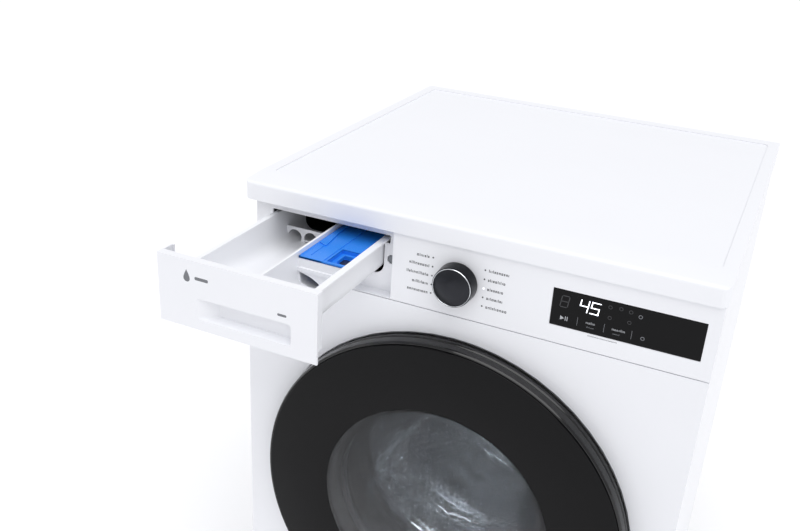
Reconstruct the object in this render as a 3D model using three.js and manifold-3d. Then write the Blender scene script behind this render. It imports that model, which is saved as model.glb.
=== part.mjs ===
// A front loading washing machine, as an assembly of separate pieces.
// Millimetres, +X right, +Y to the back, +Z up. Sizes are first given in the cabinet's own frame,
// where y = 0 is the face of the control panel, x = 0 the middle and z = 0 the floor.
// The drawer is modelled pulled out and everything else closed.

import * as THREE from "three";
import { mergeVertices } from "three/addons/utils/BufferGeometryUtils.js";
import Module from "manifold-3d";

const wasm = await Module();
wasm.setup();

// ---------------------------------------------------------------- driving sizes

const width = 600;
const depth = 600;
const height = 850;

const clear = 0.4; // gap between pieces that touch
const sheet = 1.2; // pressed steel
const plastic = 2.5; // moulded walls
const fine = 56; // sides of a large round piece that shows
const coarse = 26; // sides of a round piece inside

// Top cover
const coverHeight = 26.6;
const coverLip = 3; // stands this far in front of the control panel
const coverCorner = 9;
const coverWall = 3.5;
const rimSide = 16;
const rimFront = 46;
const rimBack = 25;
const insetDepth = 1.8;
const rimDrop = 2.2; // the rim slopes down this much towards the front edge
const rimFlat = 39; // from the front edge to where the slope ends

// Cabinet
const sideInset = 1.5; // the cabinet's sides lie this far inside the cover's edge
const footHeight = 22;
const panelHeight = 91.7;
const returnDepth = 31.6; // how far the front pieces fold back round the sides
const backInset = 19; // the rear panel lies this far inside the cover's back edge
const footInset = 38;
const footRadius = 23;
const stemRadius = 5;

// Door
const doorZ = 447.1;
const ringRadius = 252.9;
const ringBack = -0.8;
const ringThickness = 6.5;
const diskGap = 4.9; // the disk's edge lies this far inside the ring's outer edge
const diskFront = -27.2;
const diskThickness = 4;
const dishGap = 1.3;
const dishDepth = 8;
const portInset = 92.9; // the porthole's edge lies this far inside the ring's
const portLip = 10;
const bowlGap = 10; // between the bowl and the porthole
const bowlDepth = 104;
const bowlWall = 4;
const pinFromEdge = 13.9; // hinge pin to the ring's outer edge
const pinY = -13;
const pinRadius = 2.5;
const knuckleRadius = 5;
const hingeHalf = 30; // half the height of the hinge's pocket
const latchFromEdge = 21.9; // latch hook to the ring's outer edge

// Control panel
const recessRight = -88.6;
const recessDepth = 15;
const knobX = -2;
const knobRadius = 26;
const knobDepth = 20;
const shaftRadius = 4;
const displayLeft = 114.3;
const displaySide = 14.5; // from the display's end to the cabinet's side
const displayHeight = 45.8;

// Detergent drawer
const travel = 179.7;
const droop = 4; // the open drawer hangs this much lower than the closed one
const drawerHeight = 86;
const drawerWall = 2;
const trayBase = 2.6;
const trayCorner = 18;
const innerCorner = 14.5; // the compartments' rounded lower corners
const chamberAt = 90; // from the tray's front to the softener chamber
const archAt = 203; // from the tray's front to the wall with arches
const archPitch = 23.8;
const archCount = 3;
const seam = 1; // gap between the control panel and the front panel
const railDrop = 18.4; // from the cover down to the tray's rails
const railThick = 2.5;
const railLeft = -266.6;
const railRight = -101.5;
const railWidth = 4.6;
const trayDepth = 250;
const trayHeight = 48; // from the tray's rails down to its underside
const dividerX = -177.5;
const mouthRoom = 4.6; // height left over the rails, for the rise as the drawer closes
const mouthCorner = 14;
const mouthDrop = 2; // the mouth reaches this far below the tray
const hookWidth = 4.5; // the fold and hook at the drawer front's left edge
const pocketDepth = 12;

// Washing group
const tubRadius = 268;
const tubWall = 4;
const tubFront = 80;
const tubBack = 475;
const tubJoint = 248;
const collarGap = 10; // the tub's collar is this much wider than the porthole
const drumGap = 19; // between the drum and the inside of the tub
const drumSheet = 1.4;
const drumFront = 100;
const drumBack = 445;
const mouthInset = 4; // the drum's mouth is this much narrower than the porthole
const lifterCount = 3;
const axleRadius = 12;
const bearingRadius = 31;
const bearingWidth = 15.2;
const hubRadius = 48;
const hubBack = 520;
const rotorRadius = 140;
const rotorBack = 541.5;
const magnetFront = 500;

// Suspension and drain
const springInset = 32; // the springs hang this far inside the tub's side
const springY = 350;
const springRadius = 13;
const springWire = 2.2;
const lugHalf = 12;
const damperX = 150;
const damperY = 180;
const damperRadius = 16;
const rodRadius = 5;
const filterX = 215;
const filterZ = 76;
const filterRadius = 29;
const flapWidth = 112;
const flapHeight = 70;
const transitX = 185;
const transitZ = 150;

// ---------------------------------------------------------------- worked-out sizes

const coverFront = -coverLip;
const coverBack = coverFront + depth;
const coverBottom = height - coverHeight;
const halfWidth = width / 2 - sideInset;
const panelTop = coverBottom - clear;
const panelBottom = coverBottom - panelHeight;
const panelMiddle = (coverBottom + panelBottom) / 2;
const frontTop = panelBottom - seam;
const rearY = coverBack - backInset;
const innerHalf = halfWidth - sheet - clear;
const baseTop = footHeight + 2;
const dishRadius = ringRadius + dishGap;
const diskRadius = ringRadius - diskGap;
const diskBack = diskFront + diskThickness;
const ringInner = ringRadius - ringThickness;
const portRadius = ringRadius - portInset;
const bowlRadius = portRadius - bowlGap;
const collarRadius = portRadius + collarGap;
const drumMouth = portRadius - mouthInset;
const pinX = -(ringRadius - pinFromEdge);
const latchX = ringRadius - latchFromEdge;
const displayRight = halfWidth - displaySide;
const drawerLeft = -halfWidth;
const drawerRight = recessRight - 1;
const drawerFace = -travel;
const drawerBottom = panelBottom + 1.8 - droop;
const drawerTop = drawerBottom + drawerHeight;
const trayFront = drawerFace + pocketDepth + 1.9;
const trayBack = trayFront + trayDepth;
const railZ = coverBottom - railDrop;
const floorZ = railZ - trayHeight;
const mouthTop = railZ + mouthRoom;
const mouthFloor = floorZ - mouthDrop;
const tubInner = tubRadius - tubWall;
const drumRadius = tubInner - drumGap;
const springX = tubRadius - springInset;

// ---------------------------------------------------------------- solids

// A closed geometry as a manifold solid, whichever way round its profile was drawn. Corners are
// rounded to a thousandth, so that faces which are meant to be flush are exactly flush.
function solid(geometry) {
  const bare = new THREE.BufferGeometry();
  const rounded = geometry.getAttribute("position").array.map((v) => Math.round(v * 1000) / 1000);
  bare.setAttribute("position", new THREE.BufferAttribute(rounded, 3));
  bare.setIndex(geometry.index);
  const merged = mergeVertices(bare, 1e-4);
  const at = merged.attributes.position.array;
  const faces = [];
  let volume = 0;
  for (let i = 0; i < merged.index.count; i += 3) {
    const [a, b, c] = [0, 1, 2].map((k) => merged.index.array[i + k]);
    if (a === b || b === c || c === a) continue;
    faces.push([a, b, c]);
    const [p, q, r] = [a, b, c].map((v) => new THREE.Vector3().fromArray(at, 3 * v));
    volume += p.dot(q.cross(r)) / 6;
  }
  const triVerts = new Uint32Array(faces.flatMap((f) => (volume < 0 ? [f[0], f[2], f[1]] : f)));
  return new wasm.Manifold(new wasm.Mesh({ numProp: 3, vertProperties: at, triVerts }));
}

const unitX = new THREE.Vector3(1, 0, 0);
const unitY = new THREE.Vector3(0, 1, 0);
const unitZ = new THREE.Vector3(0, 0, 1);

function box(x0, x1, y0, y1, z0, z1) {
  const geometry = new THREE.BoxGeometry(x1 - x0, y1 - y0, z1 - z0);
  return solid(geometry.translate((x0 + x1) / 2, (y0 + y1) / 2, (z0 + z1) / 2));
}

const points = (profile) => profile.map(([r, a]) => new THREE.Vector2(r, a));

// A profile of [radius, y] pairs, turned about an axis along Y.
function turned(profile, x, z, sides = coarse) {
  return solid(new THREE.LatheGeometry(points(profile), sides).translate(x, 0, z));
}

// A profile of [radius, z] pairs, turned about an axis along Z.
function upright(profile, x, y, sides = 20) {
  const geometry = new THREE.LatheGeometry(points(profile), sides).rotateX(Math.PI / 2);
  return solid(geometry.translate(x, y, 0));
}

const loop = (profile) => [...profile, profile[0]];
const disc = (r, y0, y1, x, z, sides) => turned([[0, y0], [r, y0], [r, y1], [0, y1]], x, z, sides);
const post = (r, z0, z1, x, y, sides) => upright([[0, z0], [r, z0], [r, z1], [0, z1]], x, y, sides);

// Outlines drawn in x and z, extruded along y.
function alongY(shape, y0, y1, curveSegments = 6) {
  const geometry = new THREE.ExtrudeGeometry(shape, { depth: y1 - y0, bevelEnabled: false, curveSegments });
  geometry.applyMatrix4(new THREE.Matrix4().makeBasis(unitX, unitZ, unitY.clone().negate()));
  return solid(geometry.translate(0, y1, 0));
}

// Outlines drawn in y and z, extruded along x.
function alongX(shape, x0, x1, curveSegments = 6) {
  const geometry = new THREE.ExtrudeGeometry(shape, { depth: x1 - x0, bevelEnabled: false, curveSegments });
  geometry.applyMatrix4(new THREE.Matrix4().makeBasis(unitY, unitZ, unitX));
  return solid(geometry.translate(x0, 0, 0));
}

// Outlines drawn in x and y, extruded along z.
function alongZ(shape, z0, z1, curveSegments = 6) {
  const geometry = new THREE.ExtrudeGeometry(shape, { depth: z1 - z0, bevelEnabled: false, curveSegments });
  return solid(geometry.translate(0, 0, z0));
}

function polygon(corners) {
  return new THREE.Shape(points(corners));
}

function roundedRect(a0, b0, a1, b1, r) {
  const shape = new THREE.Shape();
  shape.moveTo(a0 + r, b0);
  shape.lineTo(a1 - r, b0);
  shape.absarc(a1 - r, b0 + r, r, -Math.PI / 2, 0);
  shape.lineTo(a1, b1 - r);
  shape.absarc(a1 - r, b1 - r, r, 0, Math.PI / 2);
  shape.lineTo(a0 + r, b1);
  shape.absarc(a0 + r, b1 - r, r, Math.PI / 2, Math.PI);
  shape.lineTo(a0, b0 + r);
  shape.absarc(a0 + r, b0 + r, r, Math.PI, 1.5 * Math.PI);
  return shape;
}

// A solid between two outlines of equally many corners, the first at y0 and the second at y1.
function loft(first, y0, second, y1) {
  const count = first.length;
  const corners = [...first.map((p) => [p.x, y0, p.y]), ...second.map((p) => [p.x, y1, p.y])];
  const caps = THREE.ShapeUtils.triangulateShape(first, []);
  const faces = [];
  for (let i = 0; i < count; i++) {
    const next = (i + 1) % count;
    faces.push([i, next, count + next], [i, count + next, count + i]);
  }
  caps.forEach(([a, b, c]) => faces.push([a, c, b], [count + a, count + b, count + c]));
  const geometry = new THREE.BufferGeometry();
  geometry.setAttribute("position", new THREE.Float32BufferAttribute(corners.flat(), 3));
  geometry.setIndex(faces.flat());
  return solid(geometry);
}

const outline = (shape, steps = 4) => shape.extractPoints(steps).shape;
const join = (...solids) => solids.reduce((a, b) => a.add(b));
const cut = (body, ...tools) => tools.reduce((a, b) => a.subtract(b), body);

// A solid turned about the washing group's axis.
function aroundDrum(body, angle) {
  return body.translate([0, 0, -doorZ]).rotate([0, angle, 0]).translate([0, 0, doorZ]);
}

// ---------------------------------------------------------------- finishes

const finishes = {
  enamel: { color: 0xf3f4f6, roughness: 0.35, metalness: 0 },
  whitePlastic: { color: 0xf1f2f4, roughness: 0.4, metalness: 0 },
  blackGloss: { color: 0x101113, roughness: 0.12, metalness: 0 },
  smokedGlass: { color: 0x2c2e31, roughness: 0.06, metalness: 0 },
  clearGlass: { color: 0xc9d2d6, roughness: 0.04, metalness: 0 },
  bluePlastic: { color: 0x2f8ef0, roughness: 0.35, metalness: 0 },
  greyPlastic: { color: 0x8b8f94, roughness: 0.5, metalness: 0 },
  darkMetal: { color: 0x2b2c2f, roughness: 0.3, metalness: 0.8 },
  greyRubber: { color: 0x74777b, roughness: 0.7, metalness: 0 },
  blackRubber: { color: 0x1c1c1e, roughness: 0.8, metalness: 0 },
  zinc: { color: 0xb9bcc0, roughness: 0.45, metalness: 0.9 },
  stainless: { color: 0xc8cbcf, roughness: 0.28, metalness: 1 },
  castAlloy: { color: 0xa7aaae, roughness: 0.55, metalness: 0.9 },
  concrete: { color: 0x9a9790, roughness: 0.95, metalness: 0 },
  board: { color: 0x1f5a3a, roughness: 0.6, metalness: 0 },
  springSteel: { color: 0x6d7074, roughness: 0.4, metalness: 0.9 },
};

const machine = new THREE.Group();
machine.name = "washing_machine";

function piece(name, body, finish) {
  const { vertProperties, triVerts } = body.getMesh();
  const geometry = new THREE.BufferGeometry();
  geometry.setAttribute("position", new THREE.BufferAttribute(new Float32Array(vertProperties), 3));
  geometry.setIndex(new THREE.BufferAttribute(new Uint32Array(triVerts), 1));
  geometry.computeVertexNormals();
  const mesh = new THREE.Mesh(geometry, new THREE.MeshStandardMaterial(finishes[finish]));
  mesh.name = name;
  machine.add(mesh);
}

// ---------------------------------------------------------------- cabinet

function topCover() {
  const side = new THREE.Shape();
  const edge = 5;
  const frontTopZ = height - rimDrop;
  side.moveTo(coverFront, coverBottom);
  side.lineTo(coverFront, frontTopZ - edge);
  side.absarc(coverFront + edge, frontTopZ - edge, edge, Math.PI, Math.PI / 2, true);
  side.lineTo(coverFront + rimFlat, height);
  side.lineTo(coverBack - edge, height);
  side.absarc(coverBack - edge, height - edge, edge, Math.PI / 2, 0, true);
  side.lineTo(coverBack, coverBottom);
  const plan = roundedRect(-width / 2, coverFront, width / 2, coverBack, coverCorner);
  const block = alongX(side, -width / 2, width / 2, 4).intersect(alongZ(plan, coverBottom - 1, height + 1));
  const insetX = width / 2 - rimSide;
  const inset = roundedRect(-insetX, coverFront + rimFront, insetX, coverBack - rimBack, 6);
  const hollowX = width / 2 - coverWall;
  const hollowTop = height - insetDepth - coverWall;
  return cut(
    block,
    alongZ(inset, height - insetDepth, height + 1, 3),
    box(-hollowX, hollowX, coverFront + coverWall, coverBack - coverWall, coverBottom - 1, hollowTop),
  );
}

function controlPanel() {
  const wallLeft = -halfWidth + hookWidth + 0.9;
  const back = recessDepth + plastic;
  const ledge = panelBottom + sheet;
  const right = cut(
    box(recessRight, halfWidth, 0, returnDepth, panelBottom, panelTop),
    box(recessRight + plastic, halfWidth - plastic, plastic, returnDepth + 1, ledge, panelTop - plastic),
  );
  const angle = polygon([
    [0, panelBottom],
    [returnDepth - 1, panelBottom],
    [returnDepth - 1, ledge],
    [back, ledge],
    [back, panelTop],
    [recessDepth, panelTop],
    [recessDepth, ledge],
    [0, ledge],
  ]);
  const left = cut(
    alongX(angle, -halfWidth, recessRight + 1),
    box(-halfWidth - 1, wallLeft, recessDepth - 1, returnDepth, ledge, panelTop + 1),
  );
  const shell = join(right, left);
  const slot = roundedRect(railLeft - 1.6, railZ - 6, railRight + 2.4, mouthTop, 1);
  const mouth = roundedRect(railLeft + 3.4, mouthFloor, railRight - 5, mouthTop, mouthCorner);
  const low = displayLeft - clear;
  const high = displayRight + clear;
  const half = displayHeight / 2 + clear;
  return cut(
    shell,
    alongY(slot, recessDepth - 1, back + 1, 2),
    alongY(mouth, recessDepth - 1, back + 1, 4),
    disc(6, recessDepth - 1, back + 1, recessRight - 7.5, railZ - 27, 16),
    disc(shaftRadius + 1, -1, plastic + 1, knobX, panelMiddle, 20),
    box(low, high, -1, plastic + 1, panelMiddle - half, panelMiddle + half),
  );
}

function frontPanel() {
  const inside = halfWidth - sheet;
  const pressing = cut(
    box(-halfWidth, halfWidth, 0, returnDepth, footHeight, frontTop),
    box(-inside, inside, sheet, returnDepth + 1, footHeight + sheet, frontTop - sheet),
  );
  const floorY = dishDepth + sheet;
  const dish = turned(
    loop([
      [dishRadius, 0],
      [dishRadius + sheet, 0],
      [dishRadius + sheet, floorY],
      [portRadius + sheet, floorY],
      [portRadius + sheet, dishDepth + portLip],
      [portRadius, dishDepth + portLip],
      [portRadius, dishDepth],
      [dishRadius, dishDepth],
    ]),
    0,
    doorZ,
    fine,
  );
  const flapLeft = filterX - flapWidth / 2 - 1;
  const flapRight = filterX + flapWidth / 2 + 1;
  const flapLow = filterZ - flapHeight / 2 - 1;
  const flapHigh = filterZ + flapHeight / 2 + 1;
  const holed = cut(pressing, disc(dishRadius + sheet / 2, -1, sheet + 1, 0, doorZ, fine));
  return cut(
    join(holed, dish),
    box(flapLeft, flapRight, -1, sheet + 1, flapLow, flapHigh),
    box(latchX - 14, latchX + 11, dishDepth - 1, floorY + 1, doorZ - 9, doorZ + 9),
  );
}

function sidePanel(sign) {
  const front = returnDepth + clear;
  const back = coverBack - 10;
  const top = coverBottom - clear;
  const bracketZ = top - 11;
  const section = polygon(
    [
      [halfWidth, front],
      [halfWidth, back],
      [halfWidth - 15, back],
      [halfWidth - 15, back - sheet],
      [halfWidth - sheet, back - sheet],
      [halfWidth - sheet, front + sheet],
      [halfWidth - 22, front + sheet],
      [halfWidth - 22, front],
    ].map(([x, y]) => [sign * x, y]),
  );
  const [x0, x1] = [sign * (springX - 20), sign * (halfWidth - sheet / 2)].sort((a, b) => a - b);
  const bracket = box(x0, x1, springY - 30, springY + 30, bracketZ, bracketZ + 2);
  return join(alongZ(section, footHeight, top), bracket);
}

function rearPanel() {
  const plate = box(-innerHalf, innerHalf, rearY, rearY + sheet, baseTop + clear, coverBottom - clear);
  return cut(
    plate,
    box(-halfWidth + 40, -halfWidth + 92, rearY - 1, rearY + 3, coverBottom - 72, coverBottom - 28),
    disc(14, rearY - 1, rearY + 3, halfWidth - 60, coverBottom - 60, 20),
    disc(11, rearY - 1, rearY + 3, halfWidth - 120, coverBottom - 60, 20),
    disc(13, rearY - 1, rearY + 3, -transitX, doorZ + transitZ, 16),
    disc(13, rearY - 1, rearY + 3, transitX, doorZ + transitZ, 16),
  );
}

function basePan() {
  const front = returnDepth + clear + sheet + clear;
  const plate = join(
    box(-innerHalf, innerHalf, front, rearY - clear, footHeight, baseTop),
    box(-innerHalf, -innerHalf + sheet, front, rearY - clear, footHeight, footHeight + 40),
    box(innerHalf - sheet, innerHalf, front, rearY - clear, footHeight, footHeight + 40),
  );
  const holes = footPlaces().map(([, x, y]) => post(stemRadius + 0.6, footHeight - 1, baseTop + 1, x, y, 10));
  return cut(plate, ...holes);
}

function footPlaces() {
  const x = halfWidth - footInset;
  const front = returnDepth + footInset;
  const back = rearY - footInset;
  return [
    ["front_left", -x, front],
    ["front_right", x, front],
    ["rear_left", -x, back],
    ["rear_right", x, back],
  ];
}

function foot(x, y) {
  const nutTop = footHeight - clear;
  return upright(
    [
      [0, 0],
      [footRadius - 2, 0],
      [footRadius, 2],
      [footRadius, 9],
      [11, 13],
      [11, nutTop],
      [stemRadius, nutTop],
      [stemRadius, footHeight + 22],
      [0, footHeight + 22],
    ],
    x,
    y,
    14,
  );
}

function crossbar() {
  const low = coverBottom - 7.4;
  return join(
    box(-innerHalf, innerHalf, 60, 92, low, low + 1.5),
    box(-innerHalf, innerHalf, 60, 61.5, low, low + 6),
  );
}

// ---------------------------------------------------------------- control panel's pieces

function knob() {
  const side = [
    [0, -knobDepth],
    [knobRadius - 2, -knobDepth],
    [knobRadius - 1, -knobDepth + 1.2],
    [knobRadius, -0.8],
    [shaftRadius, -0.8],
    [shaftRadius, plastic + 4],
    [0, plastic + 4],
  ];
  return turned(side, knobX, panelMiddle, 36);
}

function displayWindow() {
  const half = displayHeight / 2;
  return box(displayLeft, displayRight, -0.2, plastic, panelMiddle - half, panelMiddle + half);
}

function displayBoard() {
  return join(
    box(displayLeft - 10, displayRight, plastic + 6, plastic + 8, panelMiddle - 28, panelMiddle + 28),
    box(displayLeft + 10, displayLeft + 70, plastic + 8, plastic + 20, panelMiddle - 18, panelMiddle + 12),
  );
}

function selectorSwitch() {
  const front = plastic + 4.5;
  return join(
    disc(14, front, front + 12, knobX, panelMiddle, 24),
    box(knobX - 18, knobX + 18, front + 12, front + 14, panelMiddle - 24, panelMiddle + 24),
  );
}

// ---------------------------------------------------------------- detergent drawer

function drawerFront() {
  const back = drawerFace + 10;
  const lipTop = drawerBottom + 16;
  const hookBack = drawerFace + 27;
  const low = drawerBottom + 14;
  const high = drawerBottom + 40.5;
  const mouthShape = roundedRect(-250, low - 0.5, -122, high + 1, 4);
  const deepShape = roundedRect(-224, low + 3, -125.5, high - 6, 3);
  const shellShape = roundedRect(-250, low - 2.5, -119.5, high + 2.5, 5);
  const shellDeep = roundedRect(-227, low + 0.5, -122.5, high - 3.5, 4);
  const face = drawerFace;
  const body = join(
    box(drawerLeft, drawerRight, face, face + plastic, drawerBottom, drawerTop),
    box(drawerLeft, drawerRight, face, back, drawerTop - plastic, drawerTop),
    box(drawerRight - plastic, drawerRight, face, back, lipTop, drawerTop),
    box(drawerLeft, drawerLeft + plastic, face, hookBack, lipTop, drawerTop),
    box(drawerLeft, drawerLeft + hookWidth, hookBack - plastic, hookBack, drawerTop - 14, drawerTop),
    loft(outline(shellShape), face + 1, outline(shellDeep), face + pocketDepth + 1.5),
  );
  return cut(body, loft(outline(mouthShape), face - 2, outline(deepShape), face + pocketDepth));
}

function drawerTray() {
  const left = railLeft + railWidth;
  const right = railRight - railWidth - 2;
  const block = alongY(roundedFoot(left, right), trayFront, trayBack, 5);
  const wallY = trayFront + chamberAt;
  const x0 = dividerX + drawerWall / 2 + 0.5;
  const x1 = right - drawerWall;
  const room = outline(roundedRect(x0, floorZ + trayBase, x1, railZ + 20, innerCorner));
  const tray = cut(
    join(
      block,
      box(railLeft, left + 1, trayFront, trayBack - 10, railZ - railThick, railZ),
      box(right - 1, railRight, trayFront, trayBack - 10, railZ - railThick, railZ),
    ),
    scoop(left + drawerWall, dividerX - drawerWall / 2 - 0.5),
    loft(room, trayFront + drawerWall, room, wallY),
    loft(room, wallY + drawerWall, room, trayBack - drawerWall),
    box(x0, x1, wallY - 1, trayBack - drawerWall, railZ - 8.4, railZ + 1),
    alongY(siphonMouth(x0), wallY - 1, wallY + drawerWall + 1),
  );
  const ledge = box(x0 - 0.5, x1 + 0.5, wallY - 2.4, wallY + 0.5, railZ - 24, railZ - 19);
  return join(tray, ledge, archWall(left + drawerWall - 0.5, dividerX));
}

// The curved opening, low in the chamber's wall, through which the siphon draws.
function siphonMouth(x0) {
  const top = railZ - 26;
  const shape = new THREE.Shape();
  shape.moveTo(x0 + 4, top - 14);
  shape.lineTo(x0 + 1.5, top);
  shape.quadraticCurveTo(x0 + 24, top - 3, x0 + 36, floorZ + trayBase + 2);
  shape.lineTo(x0 + 14, floorZ + trayBase + 2);
  return shape;
}

// The tray's section: square at the rails, rounded underneath.
function roundedFoot(x0, x1) {
  const shape = new THREE.Shape();
  shape.moveTo(x0, railZ);
  shape.lineTo(x0, floorZ + trayCorner);
  shape.absarc(x0 + trayCorner, floorZ + trayCorner, trayCorner, Math.PI, 1.5 * Math.PI);
  shape.lineTo(x1 - trayCorner, floorZ);
  shape.absarc(x1 - trayCorner, floorZ + trayCorner, trayCorner, -Math.PI / 2, 0);
  shape.lineTo(x1, railZ);
  return shape;
}

// The powder compartment: its round-cornered floor falls towards the back, where it is open.
function scoop(x0, x1) {
  const places = [
    [trayFront + drawerWall, 30],
    [trayFront + 60, 14],
    [trayFront + 140, 5],
    [trayBack + 1, trayBase],
  ];
  const sections = places.map(([y, rise]) => {
    return [outline(roundedRect(x0, floorZ + rise, x1, railZ + 20, innerCorner)), y];
  });
  const spans = sections.slice(1).map(([next, y], i) => loft(sections[i][0], sections[i][1], next, y));
  return join(...spans);
}

// The upright wall with arches in which the powder compartment ends.
function archWall(x0, x1) {
  const y = trayFront + archAt;
  const top = floorZ + 23;
  const low = floorZ + trayBase - 0.5;
  const corner = innerCorner + 1;
  const shape = new THREE.Shape();
  shape.moveTo(x0 + corner, low);
  shape.lineTo(x1 - corner, low);
  shape.absarc(x1 - corner, low + corner, corner, -Math.PI / 2, 0);
  shape.lineTo(x1, top);
  shape.lineTo(x0, top);
  shape.absarc(x0 + corner, low + corner, corner, Math.PI, 1.5 * Math.PI);
  const wall = alongY(shape, y, y + 2.5, 4);
  const arches = [];
  const bars = [];
  const sill = floorZ + trayBase + 2;
  const radius = archPitch / 2 - 1.75;
  for (let i = 0; i < archCount; i++) {
    const middle = x0 + archPitch * (i + 0.5);
    const spring = top - 3.5 - radius;
    const foot = i ? sill : sill + 5;
    arches.push(box(middle - radius, middle + radius, y - 1, y + 4, foot, spring));
    arches.push(disc(radius, y - 1, y + 4, middle, spring, 14));
    if (i) bars.push(box(middle - radius - 1, middle + radius + 1, y, y + 2.5, spring - 4, spring - 2.2));
  }
  return join(cut(wall, ...arches), ...bars);
}

function softenerCap() {
  const left = dividerX + drawerWall / 2 + 1;
  const right = railRight - railWidth - 2 - drawerWall - 0.5;
  const front = trayFront + chamberAt + clear;
  const back = trayBack - drawerWall - 0.5;
  const low = railZ - 8;
  const top = railZ - 5;
  const wellLeft = left + 34.5;
  const wellBack = front + 46;
  const body = join(
    box(left, right, front, back, low, top - 1),
    box(left, left + 3, front, back, low, top),
    box(right - 3, right, front, back, low, top),
    box(left, right, front, front + 3, low, top),
    box(left, right, back - 3, back, low, top),
    box(wellLeft - 2, wellLeft, front, back, low, top + 0.6),
    box(wellLeft - 2, right - 0.5, front + 4, wellBack + 2, low - 6, low + 1),
  );
  return cut(
    body,
    box(wellLeft, right - 2.5, front + 6, wellBack, low - 4, top + 2),
    post(8, low - 20, low - 2, wellLeft + 14, front + 26, 20),
  );
}

function dispenserHousing() {
  const left = railLeft - 4;
  const right = railRight + 4;
  const front = recessDepth + plastic + clear;
  const back = trayBack + travel + 24;
  const low = mouthFloor - 12;
  const high = mouthTop + 2.5;
  return cut(
    box(left - 2, right + 2, front, back, low - 2, high + 2),
    box(left, right, front - 1, back - 2, low, high),
  );
}

// ---------------------------------------------------------------- door

function doorRing() {
  const ring = turned(
    loop([
      [ringRadius, ringBack],
      [ringRadius, ringBack - 13],
      [ringRadius - 1.3, diskFront + 4.2],
      [ringRadius - 3.1, diskFront + 1.4],
      [diskRadius + clear, diskFront + 1.4],
      [diskRadius + clear, diskBack + clear],
      [diskRadius - 20, diskBack + clear],
      [diskRadius - 20, diskBack + clear + 3],
      [ringInner, diskBack + clear + 3],
      [ringInner, ringBack],
    ]),
    0,
    doorZ,
    fine,
  );
  const notchY = pinY - 0.5;
  const notch = box(-ringRadius - 5, pinX + 5, notchY, 2, doorZ - hingeHalf, doorZ + hingeHalf);
  return cut(ring, notch);
}

function doorDisk() {
  const profile = [
    [0, diskFront],
    [diskRadius - 1.5, diskFront],
    [diskRadius, diskFront + 1.5],
    [diskRadius, diskBack],
    [0, diskBack],
  ];
  return turned(profile, 0, doorZ, fine);
}

function doorBowl() {
  const front = diskBack + 4.2;
  const side = (y) => bowlRadius * (1 - 0.08 * ((y - front) / (60 - front)) ** 2);
  const outer = [
    [0, bowlDepth],
    [bowlRadius * 0.6, bowlDepth - 3],
    [bowlRadius * 0.76, bowlDepth - 15],
    [side(60), 60],
    [side(20), 20],
    [bowlRadius, front + 7],
    [bowlRadius + 22, front + 7],
    [bowlRadius + 22, front],
  ];
  const inner = [
    [bowlRadius - bowlWall, front],
    [side(20) - bowlWall, 20],
    [side(60) - bowlWall, 59],
    [bowlRadius * 0.76 - bowlWall, bowlDepth - 17],
    [bowlRadius * 0.6 - 1, bowlDepth - bowlWall - 3],
    [0, bowlDepth - bowlWall],
  ];
  return turned([...outer, ...inner], 0, doorZ, 36);
}

function doorFrame() {
  const outer = ringInner - 0.8;
  const inner = bowlRadius + 2.5;
  const seat = bowlRadius + 22 + 1.5;
  const front = diskBack + clear + 4;
  const back = ringBack - clear;
  const frame = turned(
    loop([
      [inner, back],
      [outer, back],
      [outer, front],
      [outer - 3, front],
      [outer - 3, back - 3],
      [seat + 3, back - 3],
      [seat + 3, front],
      [seat, front],
      [seat, back - 3],
      [inner, back - 3],
    ]),
    0,
    doorZ,
    36,
  );
  return cut(frame, box(-ringRadius, pinX + 36, -30, 5, doorZ - hingeHalf, doorZ + hingeHalf));
}

function hingeBracket() {
  const z0 = doorZ - 13;
  const z1 = doorZ + 13;
  const footBack = dishDepth - clear;
  const body = join(
    post(knuckleRadius, z0, z1, pinX, pinY, 12),
    box(pinX + 3, pinX + 24, pinY - 3, pinY + 3, z0, z1),
    box(pinX + 18, pinX + 24, pinY - 3, footBack, z0, z1),
    box(pinX + 8, pinX + 34, footBack - 3, footBack, z0 - 9, z1 + 9),
  );
  return cut(body, post(pinRadius + 0.3, z0 - 1, z1 + 1, pinX, pinY, 12));
}

function hingeArm() {
  const ears = [-1, 1].map((sign) => {
    const low = Math.min(sign * 14, sign * 26);
    return [doorZ + low, doorZ + low + 12];
  });
  const parts = ears.flatMap(([z0, z1]) => [
    post(knuckleRadius, z0, z1, pinX, pinY, 12),
    box(pinX + 3, pinX + 33, pinY - 3, pinY + 3, z0, z1),
  ]);
  const web = box(pinX + 27, pinX + 33, pinY - 3, pinY + 7, doorZ - 26, doorZ + 26);
  return cut(join(web, ...parts), post(pinRadius + 0.3, doorZ - 40, doorZ + 40, pinX, pinY, 12));
}

function hingePin() {
  return post(pinRadius, doorZ - 27.5, doorZ + 27.5, pinX, pinY, 12);
}

function latchHook() {
  return join(
    box(latchX - 17, latchX + 9, ringBack, ringBack + 2.3, doorZ - 12, doorZ + 12),
    box(latchX - 3, latchX + 3, ringBack, dishDepth + 10, doorZ - 5, doorZ + 5),
    box(latchX - 9, latchX + 3, dishDepth + 6, dishDepth + 10, doorZ - 5, doorZ + 5),
  );
}

function doorLock() {
  const front = dishDepth + sheet + clear;
  return cut(
    box(latchX - 21, latchX + 21, front, front + 30, doorZ - 28, doorZ + 28),
    box(latchX - 14, latchX + 11, front - 1, front + 14, doorZ - 9, doorZ + 9),
  );
}

// ---------------------------------------------------------------- washing group

const tubSide = (x) => Math.sqrt(tubRadius ** 2 - x ** 2);
const springFoot = () => doorZ + tubSide(springX) + 26;

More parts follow.
